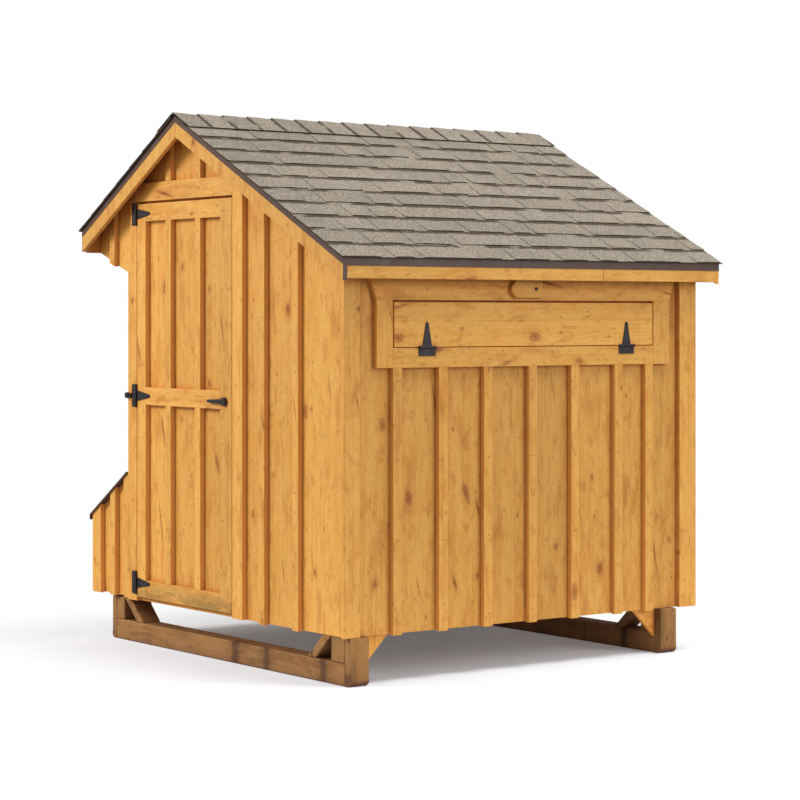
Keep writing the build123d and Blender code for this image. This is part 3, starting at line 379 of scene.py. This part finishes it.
def wood(name, light, dark, stain, knot, ring_contrast=0.3, knots=1.0, rough=0.55, weather=None, end=None,
         shade=(1.0, 0.76, 0.56), shade_reach=0.30, soiled=None):
    """Sawn softwood: growth rings round a pith beside the board, knots that bend them, fibres and stain.

    end is the colour of the narrow sides. shade tints what is covered by something within
    shade_reach. soiled gives the heights between which a splash of dirt fades out.
    """
    p = Paint(name)
    grain = p.attribute("grain", "Vector")
    tone = p.attribute("tone")
    edge = p.attribute("edge")
    parts = p.node("SeparateXYZ", {0: grain})
    v, w = parts.outputs[1], parts.outputs[2]

    wobble = p.noise(grain, 70.0, 2.0)
    big = knot_layer(p, grain, wobble, (0.36, 0.115), 0.42 * knots, 0.0050, 0.0160)
    pin = knot_layer(p, grain, wobble, (0.13, 0.06), 0.17 * knots, 0.0012, 0.0038)

    # rings
    drift = p.math("SUBTRACT", p.noise(p.scaled(grain, (1.4, 5.0, 5.0)), 1.0, 2.0), 0.5)
    squared = p.math("MULTIPLY", big[0], big[0])
    bend = p.math("MULTIPLY", p.math("EXPONENT", p.math("MULTIPLY", squared, -0.16)), big[1])
    side = p.math("ADD", v, p.math("MULTIPLY", drift, 0.05))
    rise = p.math("ADD", w, p.math("MULTIPLY", drift, 0.03))
    reach = p.math("SQRT", p.math("ADD", p.math("MULTIPLY", side, side), p.math("MULTIPLY", rise, rise)))
    reach = p.math("ADD", reach, p.math("MULTIPLY", bend, 1.3))
    phase = p.math("FRACT", p.math("MULTIPLY", reach, 190.0))
    late = p.math("MULTIPLY", p.ramp(phase, 0.35, 0.9), p.ramp(phase, 1.0, 0.93))

    fibre = p.noise(p.scaled(grain, (14.0, 1300.0, 1300.0)), 1.0, 3.0, 0.6)
    saw = p.noise(p.scaled(grain, (420.0, 60.0, 60.0)), 1.0, 2.0, 0.5)
    streak = p.noise(p.scaled(grain, (1.6, 60.0, 60.0)), 1.0, 3.0, 0.6)
    blotch = p.noise(p.scaled(grain, (5.0, 16.0, 16.0)), 1.0, 3.0, 0.6)
    cloud = p.noise(p.scaled(grain, (2.5, 8.0, 8.0)), 1.0, 2.0, 0.5)

    color = p.mix(p.math("MULTIPLY", late, ring_contrast), light, dark)
    color = p.mix(p.ramp(streak, 0.45, 0.74, 0.0, 0.50), color, dark)
    color = p.mix(p.ramp(fibre, 0.50, 0.80, 0.0, 0.35), color, dark)
    color = p.mix(p.ramp(saw, 0.45, 0.80, 0.0, 0.22), color, dark)
    color = p.mix(p.ramp(blotch, 0.50, 0.72, 0.0, 0.55), color, stain)
    color = p.mix(p.ramp(cloud, 0.60, 0.35, 0.0, 0.25), color, light)
    # brown smudges and warm patches left by the brush, and a fine mottle where the wood drank more
    smudge = p.noise(p.scaled(grain, (11.0, 26.0, 26.0)), 1.0, 5.0, 0.72, 0.7)
    color = p.mix(p.ramp(smudge, 0.50, 0.70, 0.0, 0.60), color, p.scaled(dark[:3], (0.84, 0.68, 0.56)))
    mottle = p.noise(p.scaled(grain, (55.0, 95.0, 95.0)), 1.0, 4.0, 0.7)
    color = p.mix(p.ramp(mottle, 0.50, 0.74, 0.0, 0.40), color, p.scaled(dark[:3], (0.84, 0.70, 0.58)))
    warm = p.noise(p.scaled(grain, (3.0, 11.0, 11.0)), 1.7, 3.0, 0.6)
    color = p.mix(p.ramp(warm, 0.48, 0.70, 0.0, 0.50), color, p.scaled(light[:3], (0.88, 0.68, 0.46)))
    for (ratio, radius, chance, kept), strength in ((big, 1.0), (pin, 0.9)):
        patchy = p.ramp(blotch, 0.30, 0.70, 0.65, 1.0)
        shown = p.math("MULTIPLY", p.math("MULTIPLY", kept, patchy), strength)
        core = p.math("MULTIPLY", p.ramp(ratio, 1.10, 0.50, 0.0, 0.78), shown)
        ring = p.math("MULTIPLY", p.ramp(ratio, 1.45, 1.0), p.ramp(ratio, 0.5, 0.95))
        rim = p.math("MULTIPLY", ring, shown)
        heart = p.math("MULTIPLY", p.ramp(ratio, 0.42, 0.10, 0.0, 0.65), shown)
        halo = p.math("MULTIPLY", p.ramp(ratio, 3.8, 1.0, 0.0, 0.34), shown)
        tint = p.mix(p.ramp(chance, 0.50, 0.80), knot, p.scaled(knot[:3], (0.66, 0.55, 0.60)))
        color = p.mix(halo, color, stain)
        color = p.mix(core, color, tint)
        color = p.mix(p.math("MULTIPLY", rim, 0.42), color, p.scaled(knot[:3], (0.40, 0.34, 0.38)))
        color = p.mix(heart, color, p.scaled(knot[:3], (0.42, 0.34, 0.36)))
    if weather:
        dirt = p.noise(p.scaled(grain, (3.0, 30.0, 30.0)), 1.0, 4.0, 0.65)
        color = p.mix(p.ramp(dirt, 0.45, 0.72, 0.0, 0.55), color, weather)
    side = p.mix(p.ramp(streak, 0.4, 0.7, 0.0, 0.35), end or stain, stain)
    color = p.mix(p.math("MULTIPLY", edge, 0.88), color, side)
    if soiled:
        place = p.node("TexCoord", {}).outputs["Object"]
        height = p.node("SeparateXYZ", {0: place}).outputs[2]
        low = p.ramp(height, soiled[1], soiled[0], 0.0, 0.75)
        splash = p.ramp(p.noise(p.scaled(place, (7.0, 7.0, 22.0)), 1.0, 5.0, 0.7), 0.36, 0.60)
        color = p.mix(p.math("MULTIPLY", low, splash), color, rgb(150, 120, 66))
    # painted shade, with some stain gathered there: darker and redder in the gaps and corners where pieces
    # meet
    corner_occlusion = p.node("AmbientOcclusion", {"Distance": 0.07}, samples=4).outputs["AO"]
    open_face = p.ramp(edge, 0.0, 1.0, 1.0, 0.2)
    corner_shade_and_stain = p.math("MULTIPLY", p.ramp(corner_occlusion, 0.92, 0.10, 0.0, 0.60), open_face)
    color = p.mix(corner_shade_and_stain, color, p.scaled(stain[:3], (0.66, 0.40, 0.34)))
    # painted shade: darker, tinted by shade, under whatever covers a face within shade_reach, such as the
    # eaves and the house above the skids
    sheltered = p.node("AmbientOcclusion", {"Distance": shade_reach}, samples=4).outputs["AO"]
    painted_cover_shade = p.math("MULTIPLY", p.ramp(sheltered, 0.92, 0.40, 0.0, 0.90), open_face)
    color = p.mix(painted_cover_shade, color, p.scaled(color, shade))
    color = p.toned(color, tone, 0.085)

    # light that has left the wood reaches the floor nearly neutral, as on a studio sweep
    bounced = p.node("LightPath", {}).outputs["Is Diffuse Ray"]
    color = p.mix(p.math("MULTIPLY", bounced, 0.55), color, (0.42, 0.42, 0.44, 1.0))

    height = p.math("ADD", p.math("MULTIPLY", fibre, 0.5), p.math("MULTIPLY", late, -0.35))
    height = p.math("ADD", height, p.math("MULTIPLY", saw, 0.35))
    roughness = p.ramp(streak, 0.2, 0.8, rough - 0.08, rough + 0.12)
    return p.finish(color, roughness, height=height, depth=0.0005, specular=0.3, strength=0.6)


def shingle_paint():
    """Mineral granules on asphalt: dark raw edges, ragged shadow bands at the laps, and a tone per tab."""
    p = Paint("shingle_granules")
    place = p.node("TexCoord", {}).outputs["Object"]
    tone = p.attribute("tone")
    edge = p.attribute("edge")
    band = p.node("SeparateXYZ", {0: p.attribute("grain", "Vector")}).outputs[0]
    granule = p.node("TexVoronoi", {"Vector": place, "Scale": 420.0}, voronoi_dimensions="3D")
    speck = p.node("SeparateColor", {0: granule.outputs["Color"]})
    base = p.mix(p.ramp(speck.outputs[0], 0.1, 0.9), rgb(114, 103, 88), rgb(156, 144, 126))
    base = p.mix(p.ramp(speck.outputs[1], 0.80, 0.97), base, rgb(78, 68, 60))
    base = p.mix(p.ramp(speck.outputs[2], 0.86, 0.98), base, rgb(192, 186, 174))
    patch = p.noise(place, 9.0, 3.0, 0.6)
    base = p.mix(p.ramp(patch, 0.40, 0.75, 0.0, 0.30), base, rgb(108, 101, 91))
    streak = p.noise(p.scaled(place, (20.0, 46.0, 20.0)), 1.0, 3.0, 0.6)
    base = p.mix(p.ramp(streak, 0.52, 0.8, 0.0, 0.30), base, rgb(98, 89, 78))
    # a ragged dark line at the head of each course and at the tail of each ridge cap, broken where the tabs
    # lie flat: the printed shadow band of laminated shingles, with the shadow that the lap of the piece
    # above casts painted in
    ragged = p.noise(p.scaled(place, (60.0, 22.0, 60.0)), 1.0, 2.0, 0.6)
    broken = p.ramp(p.noise(p.scaled(place, (7.0, 5.0, 7.0)), 1.0, 1.0, 0.5), 0.36, 0.46)
    lap_shadow_band = p.math("ADD", band, p.math("MULTIPLY", p.math("SUBTRACT", ragged, 0.5), 0.22))
    base = p.mix(p.math("MULTIPLY", p.ramp(lap_shadow_band, 0.78, 0.84, 0.0, 0.9), broken), base, rgb(70, 58, 47))
    base = p.mix(edge, base, rgb(78, 66, 55))
    color = p.toned(base, tone, 0.075, 0.9)
    height = p.math("SUBTRACT", 1.0, granule.outputs["Distance"])
    return p.finish(color, 0.93, height=height, depth=0.0006, specular=0.2, strength=0.8)


def coated_metal(name, base, worn, rough, grain_scale, bump):
    """Coated steel: a fine orange-peel surface, dusty patches and a little colour drift."""
    p = Paint(name)
    place = p.node("TexCoord", {}).outputs["Object"]
    peel = p.noise(place, grain_scale, 2.0, 0.5)
    dust = p.noise(place, 22.0, 4.0, 0.6)
    color = p.mix(p.ramp(dust, 0.45, 0.8, 0.0, 0.6), base, worn)
    roughness = p.ramp(dust, 0.3, 0.75, rough - 0.08, rough + 0.14)
    return p.finish(color, roughness, height=peel, depth=bump, strength=0.7)


def bare_metal(name, base, dull, rough):
    """Zinc-coated wire: a fine spangle that goes from bright to dull."""
    p = Paint(name)
    place = p.node("TexCoord", {}).outputs["Object"]
    spangle = p.noise(place, 300.0, 3.0, 0.6)
    color = p.mix(p.ramp(spangle, 0.3, 0.7), base, dull)
    roughness = p.ramp(spangle, 0.3, 0.7, rough, rough + 0.2)
    return p.finish(color, roughness, height=spangle, depth=0.0002, metallic=0.85)


STAINED = {
    "light": rgb(238, 178, 90), "dark": rgb(204, 139, 58), "stain": rgb(192, 118, 50),
    "knot": rgb(164, 84, 44), "end": rgb(248, 164, 78),
}
door_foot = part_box("door_frame")[0].z
PINE = wood("stained_pine", **STAINED)
SOILED = wood("stained_pine_soiled", **STAINED, soiled=(door_foot + 0.02, door_foot + 0.075))
SKID = wood(
    "treated_timber", rgb(184, 138, 80), rgb(140, 102, 55), rgb(114, 72, 42), rgb(88, 48, 32),
    ring_contrast=0.45, knots=1.6, rough=0.7, weather=rgb(108, 84, 52), end=rgb(104, 64, 46),
    shade=(0.50, 0.40, 0.44), shade_reach=0.45,
)
FRAMING = wood(
    "framing_timber", rgb(222, 190, 142), rgb(196, 156, 104), rgb(186, 140, 88), rgb(130, 84, 46),
    rough=0.65,
)
DECK = wood(
    "deck_board", rgb(206, 168, 118), rgb(180, 138, 90), rgb(168, 126, 80), rgb(132, 88, 50),
    rough=0.7, knots=0.7,
)
SHINGLE = shingle_paint()
BROWN = coated_metal("brown_metal", rgb(82, 58, 47), rgb(110, 84, 70), 0.46, 500.0, 0.0001)
BLACK = coated_metal("black_hardware", rgb(34, 28, 28), rgb(64, 54, 50), 0.48, 1600.0, 0.00012)
WIRE = bare_metal("galvanised_wire", rgb(176, 180, 182), rgb(128, 132, 134), 0.3)
NAIL = coated_metal("nail_heads", rgb(168, 110, 60), rgb(120, 76, 42), 0.5, 900.0, 0.00002)
TIMBER = {"stained_pine": PINE, "treated_timber": SKID, "framing_timber": FRAMING, "deck_board": DECK}
METAL = {"brown_metal": BROWN, "black_hardware": BLACK, "galvanised_wire": WIRE}

# Boards and battens whose grain stands upright whatever their outline.
UPRIGHT = {
    "front_wall_boards", "front_wall_battens", "rear_wall_boards", "rear_wall_battens", "hatch_wall_boards",
    "hatch_wall_battens", "corner_trims", "nest_wall_boards", "nest_box_ends",
    "nest_box_outer_boards", "nest_box_battens", "door_boards", "door_battens", "nest_box_dividers",
}
# How strongly the narrow sides of these pieces are turned to the darker side colour. The others get it
# fully.
SIDE_TINT = {
    "corner_trims": 0.1, "barge_boards": 0.25, "eave_fascias": 0.25, "turn_button": 0.4,
    "skid_gussets": 0.5, "front_wall_boards": 0.5, "hatch_wall_boards": 0.5,
    "skid_runners": 0.0, "skid_leg_blocks": 0.0, "skid_end_plates": 0.1, "skid_braces": 0.1,
}
# How much darker these are made than the rest: painted shade on the vent side's boards and battens; the
# corner trims and the nest wall boards are made darker too. The boards of a piece spread from -1 to 1 about
# it.
SHADE_AND_TONE_SHIFT = {
    "hatch_wall_boards": -1.3, "hatch_wall_battens": -0.6, "corner_trims": -0.4, "nest_wall_boards": -0.5,
}

for node, slot in SLOT_OF.items():
    if slot in TIMBER:
        ease = TREATED_EASE if slot == "treated_timber" else BOARD_EASE
        material = SOILED if node == "door_frame" else TIMBER[slot]
        side_tint, shade_and_tone_shift = SIDE_TINT.get(node, 1.0), SHADE_AND_TONE_SHIFT.get(node, 0.0)
        timber_piece(node, material, ease, side_tint, node in UPRIGHT, shade_and_tone_shift)
    elif slot in METAL:
        metal_piece(node, METAL[slot], 0.0 if slot == "galvanised_wire" else METAL_EASE)


# ---- shingles -----------------------------------------------------------------------------------
class Slope:
    """One roof slope: s runs up the slope from the deck's eave, y along the eave, t out of the deck."""

    def __init__(self, deck, outward):
        points = [p for ps, _ in solids(deck) for p in ps]
        eave_x = max(p.x * outward for p in points) * outward
        ridge_x = min(p.x * outward for p in points) * outward
        self.eave = Vector((eave_x, 0, max(p.z for p in points if abs(p.x - eave_x) < 1e-4)))
        ridge = Vector((ridge_x, 0, max(p.z for p in points if abs(p.x - ridge_x) < 1e-4)))
        self.length = (ridge - self.eave).length
        self.up = (ridge - self.eave).normalized()
        self.out = Vector((-self.up.z * -outward, 0, self.up.x * -outward))
        if self.out.z < 0:
            self.out = -self.out

    def at(self, s, y, t):
        """The point s up the slope, y along it and t out of it."""
        p = self.eave + self.up * s + self.out * t
        return Vector((p.x, y, p.z))


def strip(shape, slope, s0, s1, ys, butt, head, lift, shift, tone, side_dark):
    """A closed strip of shingle. butt and head are (low, high) heights at its lower and upper end.

    lift raises its lower edge and shift moves it along the slope, one value for each y in ys.
    """
    points, grain = [], []
    stations = ((s0, butt, 0.0), (s0 + (s1 - s0) * 0.45, None, 0.45), (s1, head, 1.0))
    for k, y in enumerate(ys):
        for s, heights, share in stations:
            if heights is None:
                heights = tuple(b + (h - b) * share for b, h in zip(butt, head))
            raised = lift[k] * (1 - share) ** 2
            place = s + (shift[k] if share == 0 else 0)
            for t in heights:
                points.append(slope.at(place, y, t + raised))
                grain.append(Vector((share, y, 0)))
    faces, edge = [], []
    n = 6

    def quad(a, b, c, d, dark):
        faces.append([a, b, c, d])
        edge.append(dark)

    for k in range(len(ys) - 1):
        a, b = k * n, (k + 1) * n
        quad(a + 1, b + 1, b + 3, a + 3, 0.0)
        quad(a + 3, b + 3, b + 5, a + 5, 0.0)
        quad(a, a + 2, b + 2, b, 1.0)
        quad(a + 2, a + 4, b + 4, b + 2, 1.0)
        quad(a, b, b + 1, a + 1, 1.0)
        quad(a + 4, a + 5, b + 5, b + 4, 1.0)
    for a, flip in ((0, False), ((len(ys) - 1) * n, True)):
        for q in ([a, a + 1, a + 3, a + 2], [a + 2, a + 3, a + 5, a + 4]):
            faces.append(q[::-1] if flip else q)
            edge.append(side_dark[flip])
    shape.add(points, faces, grain, tone, edge)


def stations_between(y0, y1, step):
    """Evenly spaced places from y0 to y1, about a step apart."""
    count = max(1, round((y1 - y0) / step))
    return [y0 + (y1 - y0) * i / count for i in range(count + 1)]


def shingle_slope(node, deck, outward):
    """Laminated shingles: full strips about a metre long, with thick tabs of mixed width on top."""
    rng = random.Random(node)
    slope = Slope(deck, outward)
    low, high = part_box(node)
    edge_x = high.x if outward > 0 else low.x
    start = -(abs(edge_x - slope.eave.x) - 0.009 * abs(slope.out.x)) / abs(slope.up.x)
    top = slope.length - 0.012
    shape = Shape()
    sheet = (FELT, FELT + SHEET_T)
    course = 0
    while start < top - 0.02:
        end = min(start + SHINGLE_EXPOSURE, top)
        y = low.y - (rng.uniform(0.2, 0.8) if course else 0.35)
        while y < high.y:
            y0, y1 = max(y, low.y), min(y + SHEET_LENGTH, high.y)
            y += SHEET_LENGTH
            if y1 - y0 < 0.03:
                continue
            tone = rng.uniform(-0.8, 0.8)
            first = y0 + (SHEET_JOINT if y0 > low.y else 0)
            last = y1 - (SHEET_JOINT if y1 < high.y else 0)
            ys = stations_between(first, last, 0.05)
            # the sheet lies flat: one draw per station is passed over, which fixes the draws that follow
            for _ in ys:
                rng.random()
            shift = [rng.uniform(-0.0015, 0.0015) for _ in ys]
            flat = [0.0] * len(ys)
            strip(shape, slope, start, end, ys, sheet, sheet, flat, shift, tone, (1.0, 1.0))
            at = y0 - rng.uniform(0, 0.06)
            while at < y1:
                width = rng.choice(TAB_WIDTHS)
                t0, t1 = max(at, y0), min(at + width, y1)
                at += width + rng.choice(TAB_GAPS)
                if t1 - t0 < 0.02:
                    continue
                ts = stations_between(t0, t1, 0.03)
                sweep = rng.uniform(-1, 1)
                lift = []
                for i in range(len(ts)):
                    share = i / (len(ts) - 1)
                    crown = 0.0012 * math.sin(math.pi * share) * rng.uniform(0.4, 1.0)
                    lift.append(max(0.0, crown + 0.0008 * sweep * (share - 0.5)))
                shift = [rng.uniform(-0.0012, 0.0012) for _ in ts]
                sunk = FELT + SHEET_T - 0.0005
                butt, head = (sunk, FELT + SHEET_T + TAB_T), (sunk, FELT + SHEET_T + 0.001)
                tab_tone = tone + rng.uniform(-0.7, 0.7)
                side_dark = (1.0 if t0 <= low.y else 0.1, 1.0 if t1 >= high.y else 0.1)
                tab = (start - 0.0012, end - 0.003, ts, butt, head)
                strip(shape, slope, *tab, lift, shift, tab_tone, side_dark)
        start += SHINGLE_EXPOSURE
        course += 1
    return shape.piece(f"{node}_made", BODY_OF[node], SHINGLE, SLOT_OF[node], [node])


def ridge_caps():
    """Folded caps, each with its raised end towards the door gable and its tail under the next one."""
    rng = random.Random("caps")
    shape = Shape()
    boxes = sorted(solid_boxes("ridge_caps"), key=lambda b: b[0].y)
    points = [p for ps, _ in solids("ridge_caps") for p in ps]
    peak = max(points, key=lambda p: p.z)
    low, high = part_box("ridge_caps")
    ends = []
    for x in (high.x, low.x):
        column = sorted(p.z for p in points if abs(p.x - x) < 1e-4)
        ends.append(Vector((x, 0, column[-1])))
    step = boxes[1][0].y - boxes[0][0].y
    for i, (box_low, box_high) in enumerate(boxes):
        y0 = box_low.y
        y1 = min(box_high.y + 0.03, high.y)
        skew = [rng.uniform(-0.004, 0.004) for _ in range(3)]
        tone = rng.uniform(-1, 1)
        made, grain = [], []
        # across the cap, from one end through the rounded fold to the other: (point, outward direction)
        profile = []
        for share in (0.0, 0.30, 0.42, 0.5, 0.58, 0.70, 1.0):
            if share == 0.5:
                profile.append((peak + Vector((0, 0, -0.004)), UP))
                continue
            side = ends[0] if share < 0.5 else ends[1]
            near = abs(share - 0.5) / 0.5
            p = peak.lerp(side, near)
            along = (side - peak).normalized()
            out = Vector((-along.z, 0, along.x))
            out = out if out.z > 0 else -out
            drop = 0.002 * (1 - near)
            profile.append((p - out * drop, out))
        # along the cap: (y, how far it is raised, share of the way to its tail)
        rows = [
            (y0, 0.0026, 0.0), (y0 + 0.06, 0.0008, 0.45),
            (y0 + step - 0.014, -0.0019, 0.86), (y0 + step, -0.0024, 1.0),
        ]
        if y1 > y0 + step + 0.001:
            rows.append((y1, -0.0032, 1.0))
        for y, raise_by, share in rows:
            for j, (p, out) in enumerate(profile):
                nudge = skew[0] if j < 2 else skew[1] if j > 4 else 0
                for t in (-CAP_T if i else -CAP_FRONT_T, 0.0):
                    q = p + out * (t + raise_by)
                    made.append(Vector((q.x, max(low.y, y + (nudge if share == 0 and i else 0)), q.z)))
                    grain.append(Vector((share, y, 0)))
        n = 2 * len(profile)
        faces, edge = [], []

        def quad(corners, dark):
            faces.append(corners)
            edge.append(dark)

        for row in range(len(rows) - 1):
            a, b = row * n, (row + 1) * n
            for j in range(len(profile) - 1):
                c = 2 * j
                quad([a + c + 1, a + c + 3, b + c + 3, b + c + 1], 0.0)
                quad([a + c, b + c, b + c + 2, a + c + 2], 1.0)
            quad([a, a + 1, b + 1, b], 1.0)
            last = n - 2
            quad([a + last, b + last, b + last + 1, a + last + 1], 1.0)
        for j in range(len(profile) - 1):
            c = 2 * j
            tail = (len(rows) - 1) * n + c
            quad([c, c + 2, c + 3, c + 1], 1.0)
            quad([tail, tail + 1, tail + 3, tail + 2], 1.0)
        shape.add(made, faces, grain, tone, edge)
    body, slot = BODY_OF["ridge_caps"], SLOT_OF["ridge_caps"]
    return shape.piece("ridge_caps_made", body, SHINGLE, slot, ["ridge_caps"])


shingle_slope("shingles_hatch_side", "roof_deck_hatch_side", 1)
shingle_slope("shingles_nest_side", "roof_deck_nest_side", -1)
ridge_caps()


# ---- nails --------------------------------------------------------------------------------------
def nail(shape, centre, out):
    """A low domed head, sunk a little into the wood."""
    out = Vector(out)
    a = out.orthogonal().normalized()
    b = out.cross(a)
    rings = ((NAIL_R, -0.0006), (NAIL_R, NAIL_T * 0.5), (NAIL_R * 0.7, NAIL_T))
    points = []
    for radius, rise in rings:
        for i in range(NAIL_SIDES):
            turn = 2 * math.pi * i / NAIL_SIDES
            points.append(centre + a * radius * math.cos(turn) + b * radius * math.sin(turn) + out * rise)
    faces = [list(range(NAIL_SIDES))[::-1], [2 * NAIL_SIDES + i for i in range(NAIL_SIDES)]]
    for ring in range(2):
        for i in range(NAIL_SIDES):
            j = (i + 1) % NAIL_SIDES
            low, high = ring * NAIL_SIDES, (ring + 1) * NAIL_SIDES
            faces.append([low + i, low + j, high + j, high + i])
    shape.add(points, faces)


def nail_rows(shape, node, axis, outward, spacing, rng, margin=0.05, top_margin=None):
    """Nails along each board of a node: in pairs on the wide ones, single on the narrow ones."""
    other = 1 - axis
    for low, high in solid_boxes(node):
        size = high - low
        if size[axis] > 0.03 or max(size[other], size.z) < 0.15:
            continue
        long_axis = 2 if size.z > size[other] else other
        wide_axis = other if long_axis == 2 else 2
        end = margin if top_margin is None or long_axis != 2 else top_margin
        run = size[long_axis] - margin - end
        count = max(1, round(run / spacing))
        offsets = (-0.25, 0.25) if size[wide_axis] > 0.055 else (0.0,)
        for i in range(count + 1):
            for offset in offsets:
                place = (low + high) / 2
                place[long_axis] = low[long_axis] + margin + run * i / count + rng.uniform(-0.008, 0.008)
                place[wide_axis] += size[wide_axis] * offset + rng.uniform(-0.004, 0.004)
                place[axis] = high[axis] if outward > 0 else low[axis]
                out = [0.0, 0.0, 0.0]
                out[axis] = outward
                nail(shape, place, out)


def nails():
    """Nail heads on the battens, the trims round the vent, and the door's frame and battens."""
    rng = random.Random("nails")
    house, leaf = Shape(), Shape()
    for node, axis, outward, spacing, top in (
        ("front_wall_battens", 1, -1, 0.42, 0.16), ("rear_wall_battens", 1, 1, 0.42, 0.16),
        ("hatch_wall_battens", 0, 1, 0.33, None), ("vent_surround_trims", 0, 1, 0.25, None),
        ("nest_wall_battens", 0, -1, 0.40, None),
    ):
        nail_rows(house, node, axis, outward, spacing, rng, top_margin=top)
    for node in ("door_frame", "door_battens"):
        nail_rows(leaf, node, 1, -1, 0.34, rng)
    house.piece("siding_nails", "house", NAIL, "black_hardware")
    leaf.piece("door_nails", "door", NAIL, "black_hardware")


nails()


# ---- stage --------------------------------------------------------------------------------------
def floor():
    """A pale floor that fades into the white background away from the object."""
    p = Paint("pale_floor")
    place = p.node("TexCoord", {}).outputs["Object"]
    half = ((cad_high.x - cad_low.x) / 2 - 0.08, (cad_high.y - cad_low.y) / 2 - 0.08, 1.0)
    beyond = p.node("VectorMath", {0: place}, operation="ABSOLUTE").outputs[0]
    beyond = p.node("VectorMath", {0: beyond, 1: half}, operation="SUBTRACT").outputs[0]
    beyond = p.node("VectorMath", {0: beyond, 1: (0.0, 0.0, 0.0)}, operation="MAXIMUM").outputs[0]
    away = p.node("VectorMath", {0: beyond}, operation="LENGTH").outputs["Value"]
    mottle = p.noise(place, 3.0, 3.0, 0.5)
    shade = p.mix(p.ramp(mottle, 0.3, 0.7), rgb(238, 240, 244), rgb(244, 246, 249))
    matte = p.node("BsdfPrincipled", {"Base Color": shade, "Roughness": 0.9, "Specular IOR Level": 0.1})
    seen = p.node("LightPath", {}).outputs["Is Camera Ray"]
    glow = p.ramp(seen, 0.0, 1.0, FLOOR_GLOW, 1.0)
    white = p.node("Emission", {"Color": (1, 1, 1, 1), "Strength": glow})
    fade = p.ramp(away, 0.08, 1.0)
    # painted light: the floor glows a little, more strongly to the camera, standing in for light scattered
    # in the studio that fills the shadow under the object
    painted_fill_glow = p.node("Emission", {"Color": (1, 1, 1, 1), "Strength": p.ramp(seen, 0.0, 1.0, 0.02, 0.09)})
    lit = p.node("AddShader", {0: matte.outputs[0], 1: painted_fill_glow.outputs[0]})
    mixed = p.node("MixShader", {0: fade, 1: lit.outputs[0], 2: white.outputs[0]})
    p.node("OutputMaterial", {"Surface": mixed.outputs[0]})
    mesh = bpy.data.meshes.new("studio_floor")
    signs = ((-1, -1), (1, -1), (1, 1), (-1, 1))
    corners = [(a * FLOOR_REACH, b * FLOOR_REACH, FLOOR_Z) for a, b in signs]
    mesh.from_pydata(corners, [], [(0, 1, 2, 3)])
    mesh.materials.append(p.material)
    obj = bpy.data.objects.new("studio_floor", mesh)
    bpy.context.scene.collection.objects.link(obj)


def lamp(name, place, target, size, power):
    """A white round area lamp that points at its target."""
    light = bpy.data.lights.new(name, "AREA")
    light.shape, light.size, light.energy = "DISK", size, power
    obj = bpy.data.objects.new(name, light)
    obj.location = place
    obj.rotation_euler = (Vector(target) - Vector(place)).to_track_quat("-Z", "Y").to_euler()
    bpy.context.scene.collection.objects.link(obj)


def surroundings():
    """A white background that lights the scene less strongly than it shows to the camera."""
    world = bpy.data.worlds.new("studio")
    bpy.context.scene.world = world
    world.use_nodes = True
    tree = world.node_tree
    backdrop = tree.nodes["Background"]
    backdrop.inputs["Color"].default_value = (1.0, 1.0, 1.0, 1.0)
    seen = tree.nodes.new("ShaderNodeLightPath")
    strength = tree.nodes.new("ShaderNodeMapRange")
    strength.inputs["To Min"].default_value = SKY_GLOW
    strength.inputs["To Max"].default_value = 1.0
    tree.links.new(seen.outputs["Is Camera Ray"], strength.inputs["Value"])
    tree.links.new(strength.outputs[0], backdrop.inputs["Strength"])
    bpy.context.scene.view_settings.view_transform = "Standard"


def camera():
    """A level camera whose picture is shifted down instead of tilted, so that uprights stay parallel."""
    low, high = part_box("corner_trims")
    data = bpy.data.cameras.new("camera")
    data.lens = CAMERA_LENS
    data.sensor_width = 36.0
    data.shift_y = CAMERA_SHIFT
    obj = bpy.data.objects.new("camera", data)
    obj.location = (high.x + CAMERA_OFFSET[0], low.y + CAMERA_OFFSET[1], CAMERA_HEIGHT)
    obj.rotation_euler = (math.radians(90), 0, CAMERA_TURN)
    bpy.context.scene.collection.objects.link(obj)
    bpy.context.scene.camera = obj


floor()
surroundings()
lamp("key", (-3.4, -7.4, 5.4), (0, 0, 1), 3.6, 500)
lamp("overhead", (2.6, 1.6, 7.6), (0, 0, 1), 4.0, 360)
lamp("side", (8.0, 3.6, 3.4), (0, 0.3, 1), 4.0, 190)
camera()
